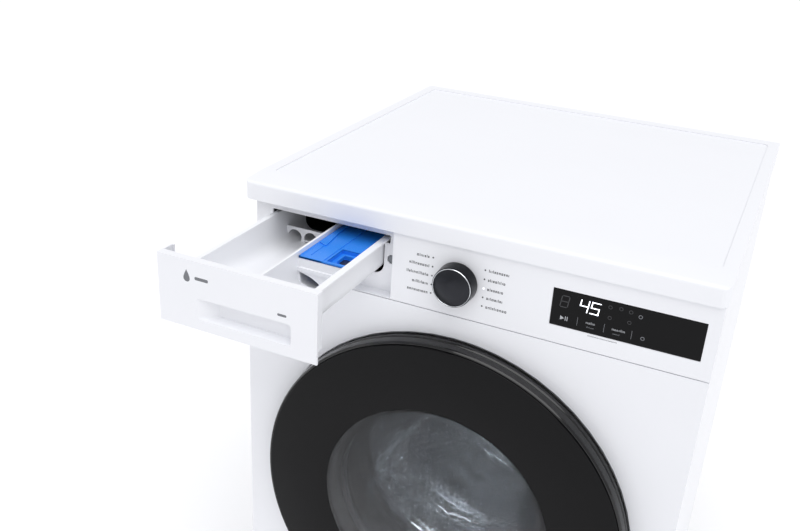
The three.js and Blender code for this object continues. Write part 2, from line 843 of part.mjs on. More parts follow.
// A rubber bellows from the porthole's lip to the tub's collar.
function gasket() {
  const front = dishDepth + sheet + 1;
  const lip = dishDepth + portLip;
  const rear = tubFront - 2;
  const port = portRadius + sheet + 1.6;
  return turned(
    loop([
      [port, front],
      [port + 4, front],
      [port + 4, lip + 3],
      [port + 17, lip + 7],
      [port + 17, lip + 21],
      [port + 11, lip + 27],
      [collarRadius + 6, lip + 37],
      [collarRadius + 6, rear],
      [collarRadius + 0.8, rear],
      [collarRadius + 0.8, tubFront - 15.2],
      [port - 7, tubFront - 17],
      [port - 7, tubFront - 21],
      [port + 6, lip + 30],
      [port + 12.5, lip + 18],
      [port + 12.5, lip + 10],
      [port - 8, lip + 4],
      [port - 8, lip + 0.8],
      [port, lip + 0.8],
    ]),
    0,
    doorZ,
    coarse,
  );
}

function tubFrontHalf() {
  const r = tubRadius;
  const y = tubFront;
  return turned(
    loop([
      [collarRadius - 4, y - 14],
      [collarRadius, y - 14],
      [collarRadius, y],
      [r - 6, y],
      [r, y + 6],
      [r, tubJoint - 8],
      [r + 8, tubJoint - 8],
      [r + 8, tubJoint],
      [tubInner, tubJoint],
      [tubInner, y + 8],
      [tubInner - 4, y + 4],
      [collarRadius - 4, y + 4],
    ]),
    0,
    doorZ,
  );
}

function tubRearHalf() {
  const r = tubRadius;
  const seat = bearingRadius + clear;
  const inside = tubBack - tubWall;
  const step = bearingWidth + 0.8;
  const front = tubJoint + clear;
  const wall = disc(r - 1, springY - 20, springY + 20, 0, doorZ, coarse);
  const lugs = [-springX, springX].map((x) => {
    const low = doorZ + tubSide(springX + lugHalf) - 3;
    const top = springFoot() - springWire - clear;
    return box(x - lugHalf, x + lugHalf, springY - lugHalf, springY + lugHalf, low, top).subtract(wall);
  });
  const shell = turned(
    loop([
      [tubInner, front],
      [r + 8, front],
      [r + 8, front + 8],
      [r, front + 8],
      [r, tubBack - 6],
      [r - 6, tubBack],
      [hubRadius, tubBack],
      [hubRadius, hubBack],
      [seat, hubBack],
      [seat, hubBack - step],
      [seat - 3.4, hubBack - step],
      [seat - 3.4, inside + 3 + step],
      [seat, inside + 3 + step],
      [seat, inside],
      [tubInner - 4, inside],
      [tubInner, inside - 4],
    ]),
    0,
    doorZ,
  );
  return join(shell, ...lugs);
}

function bearing(y0) {
  const bore = axleRadius + clear;
  const y1 = y0 + bearingWidth;
  return turned(loop([[bore, y0], [bearingRadius, y0], [bearingRadius, y1], [bore, y1]]), 0, doorZ, 18);
}

function counterweight(middle) {
  const inner = collarRadius + 17;
  const outer = tubRadius - 10;
  const [a0, a1] = [middle - 65, middle + 65].map(THREE.MathUtils.degToRad);
  const shape = new THREE.Shape();
  shape.absarc(0, doorZ, outer, a0, a1);
  shape.absarc(0, doorZ, inner, a1, a0, true);
  return alongY(shape, tubFront - 39, tubFront - clear, 14);
}

function stator() {
  const inner = hubRadius + 8;
  const outer = rotorRadius - 14;
  const back = magnetFront + 28;
  const profile = [[inner, magnetFront], [outer, magnetFront], [outer, back], [inner, back]];
  return turned(loop(profile), 0, doorZ, coarse);
}

function rotor() {
  const bore = axleRadius + 0.3;
  const back = rotorBack;
  return turned(
    loop([
      [bore, hubBack + 4],
      [28, hubBack + 4],
      [28, back - 3.5],
      [rotorRadius - 6, back - 3.5],
      [rotorRadius - 6, magnetFront],
      [rotorRadius, magnetFront],
      [rotorRadius, back],
      [bore, back],
    ]),
    0,
    doorZ,
  );
}

function heater() {
  const reach = drumRadius + 9.5;
  const turn = THREE.MathUtils.degToRad(8);
  const at = (angle, y) =>
    new THREE.Vector3(reach * Math.sin(angle), y, doorZ - reach * Math.cos(angle));
  const [back, middle, front] = [drumBack + 17, drumBack - 145, drumFront + 50];
  const there = [back, middle, front].map((y) => at(-turn, y));
  const bend = at(0, front - 22);
  const again = [front, middle, back].map((y) => at(turn, y));
  const path = new THREE.CatmullRomCurve3([...there, bend, ...again], false, "catmullrom", 0.2);
  const section = new THREE.Shape();
  section.absarc(0, 0, 3.2, 0, 2 * Math.PI);
  const settings = { steps: 18, extrudePath: path, curveSegments: 3 };
  return solid(new THREE.ExtrudeGeometry(section, settings));
}

function drumWrapper() {
  const inner = drumRadius - drumSheet;
  const back = drumBack + 0.6;
  const wall = [[inner, drumFront], [drumRadius, drumFront], [drumRadius, back], [inner, back]];
  return turned(loop(wall), 0, doorZ, coarse);
}

function drumFrontPlate() {
  const edge = drumRadius - drumSheet - 0.4;
  return turned(
    loop([
      [drumMouth, drumFront - 5],
      [drumMouth + 5, drumFront - 9],
      [edge - 8, drumFront - 2.5],
      [edge, drumFront + 2],
      [edge, drumFront + 4],
      [edge - 8.5, drumFront - 0.7],
      [drumMouth + 6, drumFront - 7],
      [drumMouth + 2, drumFront - 4],
    ]),
    0,
    doorZ,
  );
}

function drumBackPlate() {
  return disc(drumRadius - drumSheet - 0.4, drumBack - 1.5, drumBack, 0, doorZ, coarse);
}

function lifter(index) {
  const base = drumRadius - 7.5;
  const shape = polygon([
    [-36, -base],
    [36, -base],
    [30, -base + 9],
    [12, -base + 38],
    [0, -base + 42],
    [-12, -base + 38],
    [-30, -base + 9],
  ]);
  const bar = alongY(shape, drumFront + 14, drumBack - 14).translate([0, 0, doorZ]);
  return aroundDrum(bar, 60 + (360 / lifterCount) * index);
}

function spider() {
  const front = drumBack + 1.4;
  const hub = turned(
    [
      [0, front],
      [40, front],
      [40, front + 20],
      [axleRadius, front + 20],
      [axleRadius, rotorBack + 4],
      [0, rotorBack + 4],
    ],
    0,
    doorZ,
    18,
  );
  const arms = [];
  for (let i = 0; i < lifterCount; i++) {
    const shape = polygon([
      [-22, -20],
      [22, -20],
      [12, -drumRadius + 18],
      [-12, -drumRadius + 18],
    ]);
    const arm = alongY(shape, front + 0.1, front + 14).translate([0, 0, doorZ]);
    arms.push(aroundDrum(arm, 60 + (360 / lifterCount) * i));
  }
  return join(hub, ...arms);
}

// ---------------------------------------------------------------- suspension and drain

function spring(sign) {
  const top = coverBottom - clear - 11 - clear - springWire;
  const bottom = springFoot();
  const turns = 7;
  const coils = [];
  const steps = turns * 8;
  const flat = 5; // steps at each end that lie level on their seat
  for (let i = 0; i <= steps; i++) {
    const angle = (2 * Math.PI * turns * i) / steps;
    const rise = THREE.MathUtils.clamp((i - flat) / (steps - 2 * flat), 0, 1);
    const z = bottom + (top - bottom) * rise;
    const x = sign * springX + springRadius * Math.cos(angle);
    coils.push(new THREE.Vector3(x, springY + springRadius * Math.sin(angle), z));
  }
  const section = new THREE.Shape();
  section.absarc(0, 0, springWire, 0, 2 * Math.PI);
  const path = new THREE.CatmullRomCurve3(coils);
  return solid(new THREE.ExtrudeGeometry(section, { steps, extrudePath: path, curveSegments: 3 }));
}

function damperCylinder(sign) {
  const low = baseTop + clear;
  const high = low + 106;
  const bore = rodRadius + 2;
  return upright(
    [
      [0, low],
      [damperRadius, low],
      [damperRadius, high],
      [bore, high],
      [bore, low + 10],
      [0, low + 10],
    ],
    sign * damperX,
    damperY,
    14,
  );
}

function damperRod(sign) {
  const top = doorZ - tubSide(damperX - 12) - 1;
  const low = baseTop + 36;
  const x = sign * damperX;
  return join(
    post(rodRadius, low, top - 5, x, damperY, 10),
    box(x - 12, x + 12, damperY - 12, damperY + 12, top - 10, top),
  );
}

function drainPump() {
  const front = 21;
  const wall = filterRadius + 1.5;
  return turned(
    [
      [0, front + 130],
      [25, front + 130],
      [25, front + 71],
      [wall + 3.5, front + 71],
      [wall + 3.5, front],
      [wall, front],
      [wall, front + 62],
      [0, front + 62],
    ],
    filterX,
    filterZ,
    20,
  );
}

function pumpFilter() {
  const body = turned(
    [
      [0, 14],
      [filterRadius, 14],
      [filterRadius, 24],
      [filterRadius - 6, 24],
      [filterRadius - 6, 76],
      [0, 76],
    ],
    filterX,
    filterZ,
    20,
  );
  return join(body, box(filterX - 20, filterX + 20, 5, 15, filterZ - 4, filterZ + 4));
}

function serviceFlap() {
  const left = filterX - flapWidth / 2;
  return box(left, left + flapWidth, 0, plastic, filterZ - flapHeight / 2, filterZ + flapHeight / 2);
}

// ---------------------------------------------------------------- rear fittings

function inletValve() {
  const x = -halfWidth + 66;
  const z = coverBottom - 50;
  const spigot = loop([
    [7, rearY - 2],
    [12, rearY - 2],
    [12, coverBack - 1],
    [7, coverBack - 1],
  ]);
  return join(
    box(x - 24, x + 24, rearY - 42, rearY - 1, z - 20, z + 20),
    turned(spigot, x, z, 16),
    box(x - 40, x + 40, rearY - 10, rearY - 1, z - 20, z + 20),
  );
}

function drainConnector() {
  const x = halfWidth - 60;
  const z = coverBottom - 60;
  return turned(
    loop([
      [9, rearY - 30],
      [12, rearY - 30],
      [12, coverBack - 1],
      [9, coverBack - 1],
    ]),
    x,
    z,
    16,
  );
}

function cordGland() {
  const x = halfWidth - 120;
  const z = coverBottom - 60;
  return turned(
    loop([
      [4.5, rearY - 8],
      [9, rearY - 8],
      [9, rearY + 2],
      [14, rearY + 2],
      [12, coverBack - 4],
      [4.5, coverBack - 4],
    ]),
    x,
    z,
    16,
  );
}

function transitCap(sign) {
  return turned(
    [
      [0, rearY - 8],
      [12, rearY - 8],
      [12, rearY + sheet + clear],
      [18, rearY + sheet + clear],
      [16, rearY + 6],
      [0, rearY + 7],
    ],
    sign * transitX,
    doorZ + transitZ,
    16,
  );
}

// ---------------------------------------------------------------- assembly

piece("top_cover", topCover(), "enamel");
piece("control_panel", controlPanel(), "whitePlastic");
piece("front_panel", frontPanel(), "enamel");
piece("side_panel_left", sidePanel(-1), "enamel");
piece("side_panel_right", sidePanel(1), "enamel");
piece("rear_panel", rearPanel(), "zinc");
piece("base_pan", basePan(), "zinc");
for (const [place, x, y] of footPlaces()) {
  piece("foot_" + place, foot(x, y), "blackRubber");
}
piece("front_crossbar", crossbar(), "zinc");

piece("programme_knob", knob(), "darkMetal");
piece("display_window", displayWindow(), "smokedGlass");
piece("display_board", displayBoard(), "board");
piece("selector_switch", selectorSwitch(), "greyPlastic");

piece("drawer_front", drawerFront(), "whitePlastic");
piece("drawer_tray", drawerTray(), "whitePlastic");
piece("softener_cap", softenerCap(), "bluePlastic");
piece("dispenser_housing", dispenserHousing(), "greyPlastic");

piece("door_ring", doorRing(), "blackGloss");
piece("door_disk", doorDisk(), "smokedGlass");
piece("door_bowl", doorBowl(), "clearGlass");
piece("door_frame", doorFrame(), "blackGloss");
piece("hinge_bracket", hingeBracket(), "zinc");
piece("hinge_arm", hingeArm(), "zinc");
piece("hinge_pin", hingePin(), "stainless");
piece("latch_hook", latchHook(), "zinc");
piece("door_lock", doorLock(), "greyPlastic");

piece("gasket", gasket(), "greyRubber");
piece("tub_front", tubFrontHalf(), "greyPlastic");
piece("tub_rear", tubRearHalf(), "greyPlastic");
piece("counterweight_upper", counterweight(90), "concrete");
piece("counterweight_lower", counterweight(270), "concrete");
piece("bearing_front", bearing(tubBack - tubWall + 3), "stainless");
piece("bearing_rear", bearing(hubBack - bearingWidth - 0.4), "stainless");
piece("stator", stator(), "darkMetal");
piece("rotor", rotor(), "zinc");
piece("heater", heater(), "stainless");
piece("drum_wrapper", drumWrapper(), "stainless");
piece("drum_front_plate", drumFrontPlate(), "stainless");
piece("drum_back_plate", drumBackPlate(), "stainless");
for (let i = 0; i < lifterCount; i++) {
  piece("lifter_" + (i + 1), lifter(i), "greyPlastic");
}
piece("drum_spider", spider(), "castAlloy");

for (const [side, sign] of [["left", -1], ["right", 1]]) {
  piece("spring_" + side, spring(sign), "springSteel");
  piece("damper_cylinder_" + side, damperCylinder(sign), "greyPlastic");
  piece("damper_rod_" + side, damperRod(sign), "stainless");
  piece("transit_cap_" + side, transitCap(sign), "greyPlastic");
}

piece("drain_pump", drainPump(), "greyPlastic");
piece("pump_filter", pumpFilter(), "greyPlastic");
piece("service_flap", serviceFlap(), "whitePlastic");
piece("inlet_valve", inletValve(), "greyPlastic");
piece("drain_connector", drainConnector(), "greyPlastic");
piece("cord_gland", cordGland(), "blackRubber");

// The part's own origin: the middle of its footprint, with the drawer out, on the floor.
machine.position.y = -(drawerFace + coverBack) / 2;

export default machine;
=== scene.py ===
# %% [markdown]
# # Front loading washing machine
# A white cabinet with a round black glass door, a detergent drawer that is pulled out, a programme knob and a
# display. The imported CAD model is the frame: each piece here is placed from it and rides on one of its bodies.
# The large sheet and moulded pieces keep the CAD shape and get bevels, and the turned, printed and glass pieces
# are made again with more detail.
# %% The frame
import math
import random

import bmesh
import bpy
from mathutils import Matrix, Vector


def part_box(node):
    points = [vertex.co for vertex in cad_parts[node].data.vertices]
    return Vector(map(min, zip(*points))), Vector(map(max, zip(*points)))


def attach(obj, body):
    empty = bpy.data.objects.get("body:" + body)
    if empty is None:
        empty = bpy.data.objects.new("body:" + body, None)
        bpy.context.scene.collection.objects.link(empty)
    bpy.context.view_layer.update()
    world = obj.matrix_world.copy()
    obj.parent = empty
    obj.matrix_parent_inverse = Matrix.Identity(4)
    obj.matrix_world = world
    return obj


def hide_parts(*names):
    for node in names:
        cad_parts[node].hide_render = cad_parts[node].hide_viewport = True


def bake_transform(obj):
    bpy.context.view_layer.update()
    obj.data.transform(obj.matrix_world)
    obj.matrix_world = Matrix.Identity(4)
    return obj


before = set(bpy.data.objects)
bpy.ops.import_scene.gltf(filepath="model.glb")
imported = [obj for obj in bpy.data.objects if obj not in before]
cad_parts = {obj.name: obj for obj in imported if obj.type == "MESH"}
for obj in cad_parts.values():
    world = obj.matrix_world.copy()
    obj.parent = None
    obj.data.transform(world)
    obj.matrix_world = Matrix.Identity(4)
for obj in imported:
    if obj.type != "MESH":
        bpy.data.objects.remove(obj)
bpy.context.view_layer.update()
MM = 0.001
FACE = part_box("control_panel")[0].y  # the control panel's front face
DOOR_Z = sum(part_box("door_ring")[k].z for k in (0, 1)) / 2

# %% [markdown]
# ## Colours and nodes
# Paint and plastic colours are easiest to read as the hex values of a screen, but light is worked out in linear
# values, so one function turns one into the other. A second function adds any node to a material, with its
# settings and the sockets that feed it, so that each material below reads as a short list.
# %% Colour and node helpers


def tone(code):
    """An sRGB hex colour as linear red, green, blue and alpha."""
    channels = [int(code[i : i + 2], 16) / 255 for i in (0, 2, 4)]
    return (*[c / 12.92 if c <= 0.04045 else ((c + 0.055) / 1.055) ** 2.4 for c in channels], 1.0)


def add(material, kind, settings=None, links=None):
    """One node of the kind named, with its settings and the output sockets that its inputs take."""
    made = material.node_tree.nodes.new("ShaderNode" + kind)
    for name, value in (settings or {}).items():
        if isinstance(name, int) or name in made.inputs:
            made.inputs[name].default_value = value
        else:
            setattr(made, name, value)
    for name, socket in (links or {}).items():
        material.node_tree.links.new(socket, made.inputs[name])
    return made


def surface(name, code, roughness, **settings):
    """A new material with one Principled shader."""
    material = bpy.data.materials.new(name)
    material.use_nodes = True
    shader = material.node_tree.nodes["Principled BSDF"]
    shader.inputs["Base Color"].default_value = tone(code)
    shader.inputs["Roughness"].default_value = roughness
    for key, value in settings.items():
        shader.inputs[key.replace("_", " ").title().replace("Ior", "IOR")].default_value = value
    material.diffuse_color = tone(code)
    return material, shader


def textured(name, code, second, roughness, spread, grain_mm, relief_mm, stretch=(1, 1, 1), **settings):
    """A material whose colour, roughness and relief vary together with a grain of a real size."""
    material, shader = surface(name, code, roughness, **settings)
    place = add(material, "TexCoord")
    scaled = add(material, "Mapping", {"Scale": stretch}, {"Vector": place.outputs["Object"]})
    grain = add(
        material,
        "TexNoise",
        {"Scale": 1000 / grain_mm, "Detail": 4.0, "Roughness": 0.6},
        {"Vector": scaled.outputs["Vector"]},
    )
    cloud = add(material, "TexNoise", {"Scale": 9.0, "Detail": 2.0}, {"Vector": place.outputs["Object"]})
    blend = add(material, "Mix", {"data_type": "RGBA"}, {})
    blend.inputs[6].default_value = tone(code)
    blend.inputs[7].default_value = tone(second)
    material.node_tree.links.new(cloud.outputs["Fac"], blend.inputs[0])
    material.node_tree.links.new(blend.outputs[2], shader.inputs["Base Color"])
    gloss = add(
        material,
        "MapRange",
        {"To Min": roughness - spread, "To Max": roughness + spread},
        {"Value": grain.outputs["Fac"]},
    )
    relief = {"Strength": 0.6, "Distance": relief_mm * MM}
    bump = add(material, "Bump", relief, {"Height": grain.outputs["Fac"]})
    material.node_tree.links.new(gloss.outputs["Result"], shader.inputs["Roughness"])
    material.node_tree.links.new(bump.outputs["Normal"], shader.inputs["Normal"])
    return material


# %% [markdown]
# ## Painted sheet and moulded plastic
# The cabinet is steel sheet with baked white powder enamel, which shows a faint orange peel about a millimetre
# and a half across. The panel and drawer are moulded ABS, whose tool was spark eroded to a finer grain, so it
# shines less. Polypropylene is a little waxier and softer in the light.
# %% Whites, greys and blue
ENAMEL = textured("baked_enamel", "EEEFF3", "EBECF0", 0.30, 0.03, 1.6, 0.012, ior=1.5)
COVER = textured("cover_enamel_gloss", "EFF0F4", "EDEEF2", 0.34, 0.03, 1.4, 0.014, ior=1.5)
ABS = textured("moulded_abs_white", "EEEFF3", "EBECF0", 0.36, 0.04, 0.7, 0.01, ior=1.54)
TRAY = textured("moulded_pp_white", "F2F3F6", "EDEEF2", 0.38, 0.04, 1.1, 0.012, ior=1.49)
BLUE = textured("moulded_pp_blue", "2F8AEF", "2A83E8", 0.26, 0.04, 0.9, 0.01, ior=1.49)
HOUSING = textured("moulded_pp_charcoal", "1E2022", "1A1C1E", 0.5, 0.06, 1.2, 0.02, ior=1.49)
GREY_PP = textured("moulded_pp_grey", "7E8287", "75797E", 0.5, 0.06, 1.2, 0.02, ior=1.49)
RUBBER = textured("moulded_rubber_black", "1D1D1F", "161617", 0.72, 0.08, 0.8, 0.03, ior=1.52)
EPDM = textured("moulded_epdm_grey", "6E7276", "64686C", 0.55, 0.08, 0.9, 0.03, ior=1.52)
print("plastics and paints ready")

# %% [markdown]
# ## Metals, concrete and board
# Galvanised sheet shows its zinc crystals, the drum is stainless steel with fine rolling lines, and the spider
# is cast aluminium. The counterweights are cast concrete. All of these lie inside or behind, so they are seen
# through the porthole, with the door open or from the back.
# %% Metals and minerals
STAINLESS = textured("rolled_stainless", "C6C9CD", "B4B8BD", 0.24, 0.06, 1.8, 0.01, (1, 0.06, 1), metallic=1.0)
CAST = textured("cast_aluminium", "A3A6AA", "93969A", 0.5, 0.1, 1.5, 0.06, metallic=1.0)
SPRING = textured("drawn_spring_wire", "5E6165", "505357", 0.42, 0.08, 0.8, 0.02, metallic=1.0)
PIN = textured("ground_steel", "BFC2C6", "B2B5BA", 0.2, 0.04, 0.6, 0.006, (1, 1, 0.1), metallic=1.0)
DARK = textured("varnished_laminations", "2A2B2E", "202124", 0.4, 0.1, 0.9, 0.03, metallic=0.6)
CONCRETE = textured("cast_concrete", "9B978F", "7F7B74", 0.92, 0.05, 3.5, 0.5)
BOARD = textured("glass_fibre_board", "1D5A38", "184C30", 0.45, 0.08, 0.8, 0.02, ior=1.5)


def spangled(name):
    """Hot dipped zinc: flat crystals about 9 mm across, each with its own tone and shine."""
    material, shader = surface(name, "B7BABE", 0.42, metallic=1.0)
    place = add(material, "TexCoord")
    crystals = add(material, "TexVoronoi", {"Scale": 1000 / 9}, {"Vector": place.outputs["Object"]})
    grey = add(material, "RGBToBW", None, {"Color": crystals.outputs["Color"]})
    colour = add(material, "Mix", {"data_type": "RGBA"}, {})
    colour.inputs[6].default_value = tone("A9ACB0")
    colour.inputs[7].default_value = tone("C7CACE")
    shine = add(material, "MapRange", {"To Min": 0.34, "To Max": 0.52}, {"Value": grey.outputs["Val"]})
    links = material.node_tree.links
    links.new(grey.outputs["Val"], colour.inputs[0])
    links.new(colour.outputs[2], shader.inputs["Base Color"])
    links.new(shine.outputs["Result"], shader.inputs["Roughness"])
    return material


ZINC = spangled("galvanised_sheet")
print("metals ready")

# %% [markdown]
# ## Black gloss, glass and print
# The door's ring is piano black ABS and its face is a flat tempered glass printed black from behind, with a
# round window left clear and smoked. A pane needs no refraction, so it is a tinted transparent shader under a
# Fresnel gloss. The bowl behind is thick pressed glass, where refraction shows, mixed with some plain
# transparency so that the studio light reaches the drum. The printed glass reflects less than bare glass
# would, because the pale floor would otherwise turn it grey.
# %% Gloss black and glass
BLACK = textured("piano_black_abs", "08080A", "0A0A0C", 0.09, 0.02, 2.5, 0.004, ior=1.5)
WEAK = {"ior": 1.5, "specular_ior_level": 0.16}  # a reflection of about a third of bare glass
PRINTED = textured("black_printed_glass", "060607", "08080A", 0.04, 0.01, 4.0, 0.002, **WEAK)


def pane(name, tint, ior, share, roughness, ripple_mm, relief_mm):
    """Clear or tinted glass; share is how much of it is plainly transparent and the rest refracts."""
    material = bpy.data.materials.new(name)
    material.use_nodes = True
    tree = material.node_tree
    tree.nodes.clear()
    place = add(material, "TexCoord")
    waves = {"Scale": 1000 / ripple_mm, "Detail": 2.0}
    ripple = add(material, "TexNoise", waves, {"Vector": place.outputs["Object"]})
    relief = {"Strength": 0.5, "Distance": relief_mm * MM}
    bump = add(material, "Bump", relief, {"Height": ripple.outputs["Fac"]})
    clear = add(material, "BsdfTransparent", {"Color": tone(tint)})
    bent = add(
        material,
        "BsdfRefraction",
        {"Color": tone(tint), "Roughness": roughness, "IOR": ior},
        {"Normal": bump.outputs["Normal"]},
    )
    body = add(material, "MixShader", {"Fac": 1 - share})
    gloss = add(material, "BsdfGlossy", {"Roughness": roughness}, {"Normal": bump.outputs["Normal"]})
    angle = add(material, "Fresnel", {"IOR": ior}, {"Normal": bump.outputs["Normal"]})
    whole = add(material, "MixShader", None, {"Fac": angle.outputs["Fac"]})
    out = add(material, "OutputMaterial")
    tree.links.new(clear.outputs[0], body.inputs[1])
    tree.links.new(bent.outputs[0], body.inputs[2])
    tree.links.new(body.outputs[0], whole.inputs[1])
    tree.links.new(gloss.outputs[0], whole.inputs[2])
    tree.links.new(whole.outputs[0], out.inputs[0])
    material.diffuse_color = tone(tint)
    return material


SMOKED = pane("smoked_tempered_glass", "DCDDDF", 1.3, 1.0, 0.01, 60, 0.1)
PRESSED = pane("pressed_bowl_glass", "F4F6F7", 1.5, 0.55, 0.01, 26, 3.0)
print("glass ready")

# %% [markdown]
# ## Inks and lights
# The panel is pad printed in dark grey, and the drawer in mid grey. Behind the display's black glass sit white
# light-emitting segments, with the unlit ones showing as a faint grey.
# %% Inks and segments
INK = textured("pad_print_dark_grey", "3A3C40", "36383C", 0.55, 0.05, 0.6, 0.004)
SOFT_INK = textured("pad_print_mid_grey", "77797E", "6F7176", 0.5, 0.05, 0.6, 0.004)
DIM = textured("screen_print_dim_grey", "7D7F84", "75777C", 0.5, 0.05, 0.6, 0.004)
PALE_INK = textured("screen_print_pale_grey", "B4B6BA", "ABADB2", 0.5, 0.05, 0.6, 0.004)
UNLIT = textured("unlit_segment", "343538", "2F3033", 0.4, 0.05, 0.6, 0.004)
LIT, lit_shader = surface("lit_segment", "F4F7FF", 0.4)
lit_shader.inputs["Emission Color"].default_value = tone("F4F7FF")
lit_shader.inputs["Emission Strength"].default_value = 1.6
print("inks ready")

# %% [markdown]
# ## Shapes
# A turned piece is a profile carried round an axis, a flat piece is an outline pushed through a thickness, and
# a small strip is a bevelled box. Profiles get their corners rounded before they are turned, which is how a
# moulding or a pressing really ends. Each piece then gets its material and rides on its body.
# %% Mesh helpers


def soften(profile, size, steps=4, closed=True):
    """The same profile with each corner rounded by up to size, in metres."""
    count, out = len(profile), []
    for i, (r, a) in enumerate(profile):
        if not closed and i in (0, count - 1):
            out.append((r, a))
            continue
        here = Vector((r, a))
        before, after = Vector(profile[i - 1]), Vector(profile[(i + 1) % count])
        reach = min(size, (before - here).length * 0.45, (after - here).length * 0.45)
        start = here + (before - here).normalized() * reach
        end = here + (after - here).normalized() * reach
        for k in range(steps + 1):
            t = k / steps
            out.append(tuple(start * (1 - t) ** 2 + here * 2 * t * (1 - t) + end * t**2))
    return out


def mesh(name, points, faces, uvs=None):
    data = bpy.data.meshes.new(name)
    data.from_pydata(points, [], faces)
    data.validate()
    data.update()
    if uvs:
        layer = data.uv_layers.new(name="turned")
        for polygon in data.polygons:
            for loop, uv in zip(polygon.loop_indices, uvs[polygon.index]):
                layer.data[loop].uv = uv
    made = bpy.data.objects.new(name, data)
    bpy.context.scene.collection.objects.link(made)
    return made


def turned(name, profile, x=0.0, z=DOOR_Z, sides=128, closed=True, arc=(0.0, 2 * math.pi)):
    """A profile of (radius, y) pairs turned about an axis along Y, with UVs in turns and metres of profile."""
    count = len(profile)
    whole = abs(arc[1] - arc[0] - 2 * math.pi) < 1e-6
    rings = sides if whole else sides + 1
    points, faces, uvs = [], [], []
    for i in range(rings):
        angle = arc[0] + (arc[1] - arc[0]) * i / sides
        points += [(x + r * math.cos(angle), y, z + r * math.sin(angle)) for r, y in profile]
    along = [0.0]
    for k in range(count):
        along.append(along[-1] + (Vector(profile[(k + 1) % count]) - Vector(profile[k])).length)
    for i in range(sides):
        for k in range(count if closed else count - 1):
            a, b = i * count + k, i * count + (k + 1) % count
            c, d = ((i + 1) % rings) * count + (k + 1) % count, ((i + 1) % rings) * count + k
            faces.append((a, b, c, d))
            u0, u1, v0, v1 = i / sides, (i + 1) / sides, along[k], along[k + 1]
            uvs.append([(u0, v0), (u0, v1), (u1, v1), (u1, v0)])
    if not whole and closed:
        faces += [tuple(range(count - 1, -1, -1)), tuple((rings - 1) * count + k for k in range(count))]
        uvs += [[(0, 0)] * count, [(0, 0)] * count]
    return mesh(name, points, faces, uvs)


def slab(name, outline, low, high, along="y"):
    """An outline of (first, second) pairs pushed from low to high along an axis."""
    orders = {"x": lambda a, b, t: (t, a, b), "y": lambda a, b, t: (a, t, b), "z": lambda a, b, t: (a, b, t)}
    order = orders[along]
    count = len(outline)
    points = [order(a, b, low) for a, b in outline] + [order(a, b, high) for a, b in outline]
    faces = [tuple(range(count)), tuple(range(2 * count - 1, count - 1, -1))]
    faces += [((i + 1) % count, i, count + i, count + (i + 1) % count) for i in range(count)]
    return mesh(name, points, faces)


def rounded(x0, z0, x1, z1, radius, steps=8):
    """A rectangle with round corners, as (first, second) pairs."""
    out = []
    for cx, cz, first in ((x1, z0, -90), (x1, z1, 0), (x0, z1, 90), (x0, z0, 180)):
        mx = cx - radius if cx == x1 else cx + radius
        mz = cz - radius if cz == z0 + (z1 - z0) else cz + radius
        for k in range(steps + 1):
            turn = math.radians(first + 90 * k / steps)
            out.append((mx + radius * math.cos(turn), mz + radius * math.sin(turn)))
    return out


def bevelled(piece, width, segments=3, angle=28):
    """Rounds a piece's edges, the way a mould or a press leaves them."""
    bevel = piece.modifiers.new("edges", "BEVEL")
    bevel.width, bevel.segments, bevel.limit_method = width, segments, "ANGLE"
    bevel.angle_limit = math.radians(angle)
    bevel.harden_normals = True
    bevel.use_clamp_overlap = True
    return piece


def outwards(piece):
    """Turns a piece's faces so that they all look out of it, and merges doubled points."""
    work = bmesh.new()
    work.from_mesh(piece.data)
    bmesh.ops.remove_doubles(work, verts=work.verts, dist=1e-6)
    bmesh.ops.recalc_face_normals(work, faces=work.faces)
    work.to_mesh(piece.data)
    work.free()


def fit(piece, body, material, stands_for=(), bevel=0.0, smooth=True):
    """Finishes a new piece: faces, material, bevel, body, and the CAD nodes that it stands for."""
    outwards(piece)
    piece.data.materials.append(material)
    for polygon in piece.data.polygons:
        polygon.use_smooth = smooth
    if bevel:
        bevelled(piece, bevel)
    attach(piece, body)
    if stands_for:
        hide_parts(*stands_for)
    return piece


def row(profile, at=FACE):
    """A profile given in millimetres behind the control panel's face, in metres of the frame."""
    return [(r * MM, at + y * MM) for r, y in profile]


# %% [markdown]
# ## The cabinet and the inner pieces
# Sheet and mouldings whose CAD shape is right stay. Their facets are joined back into whole faces, the edges
# get a small radius that catches the light, and each gets the finish of the real material.
# %% CAD pieces that stay
STAYS = {
    COVER: ["top_cover"],
    ENAMEL: ["front_panel", "side_panel_left", "side_panel_right"],
    ABS: ["control_panel", "drawer_front", "service_flap"],
    TRAY: ["drawer_tray"],
    ZINC: ["rear_panel", "base_pan", "front_crossbar", "hinge_bracket", "hinge_arm", "latch_hook", "rotor"],
    HOUSING: ["dispenser_housing"],
    GREY_PP: ["selector_switch", "door_lock", "tub_front", "tub_rear", "lifter_1", "lifter_2"]
    + ["lifter_3", "damper_cylinder_left", "damper_cylinder_right", "transit_cap_left", "transit_cap_right"]
    + ["drain_pump", "pump_filter", "inlet_valve", "drain_connector"],
    RUBBER: ["cord_gland"],
    CONCRETE: ["counterweight_upper", "counterweight_lower"],
    PIN: ["bearing_front", "bearing_rear", "hinge_pin", "damper_rod_left", "damper_rod_right", "heater"],
    DARK: ["stator"],
    STAINLESS: ["drum_back_plate", "drum_front_plate"],
    CAST: ["drum_spider"],
    BOARD: ["display_board"],
    BLACK: ["door_frame"],
}
RADIUS = {"top_cover": 1.6, "control_panel": 0.7, "drawer_front": 0.9, "front_panel": 0.5, "drawer_tray": 0.8}


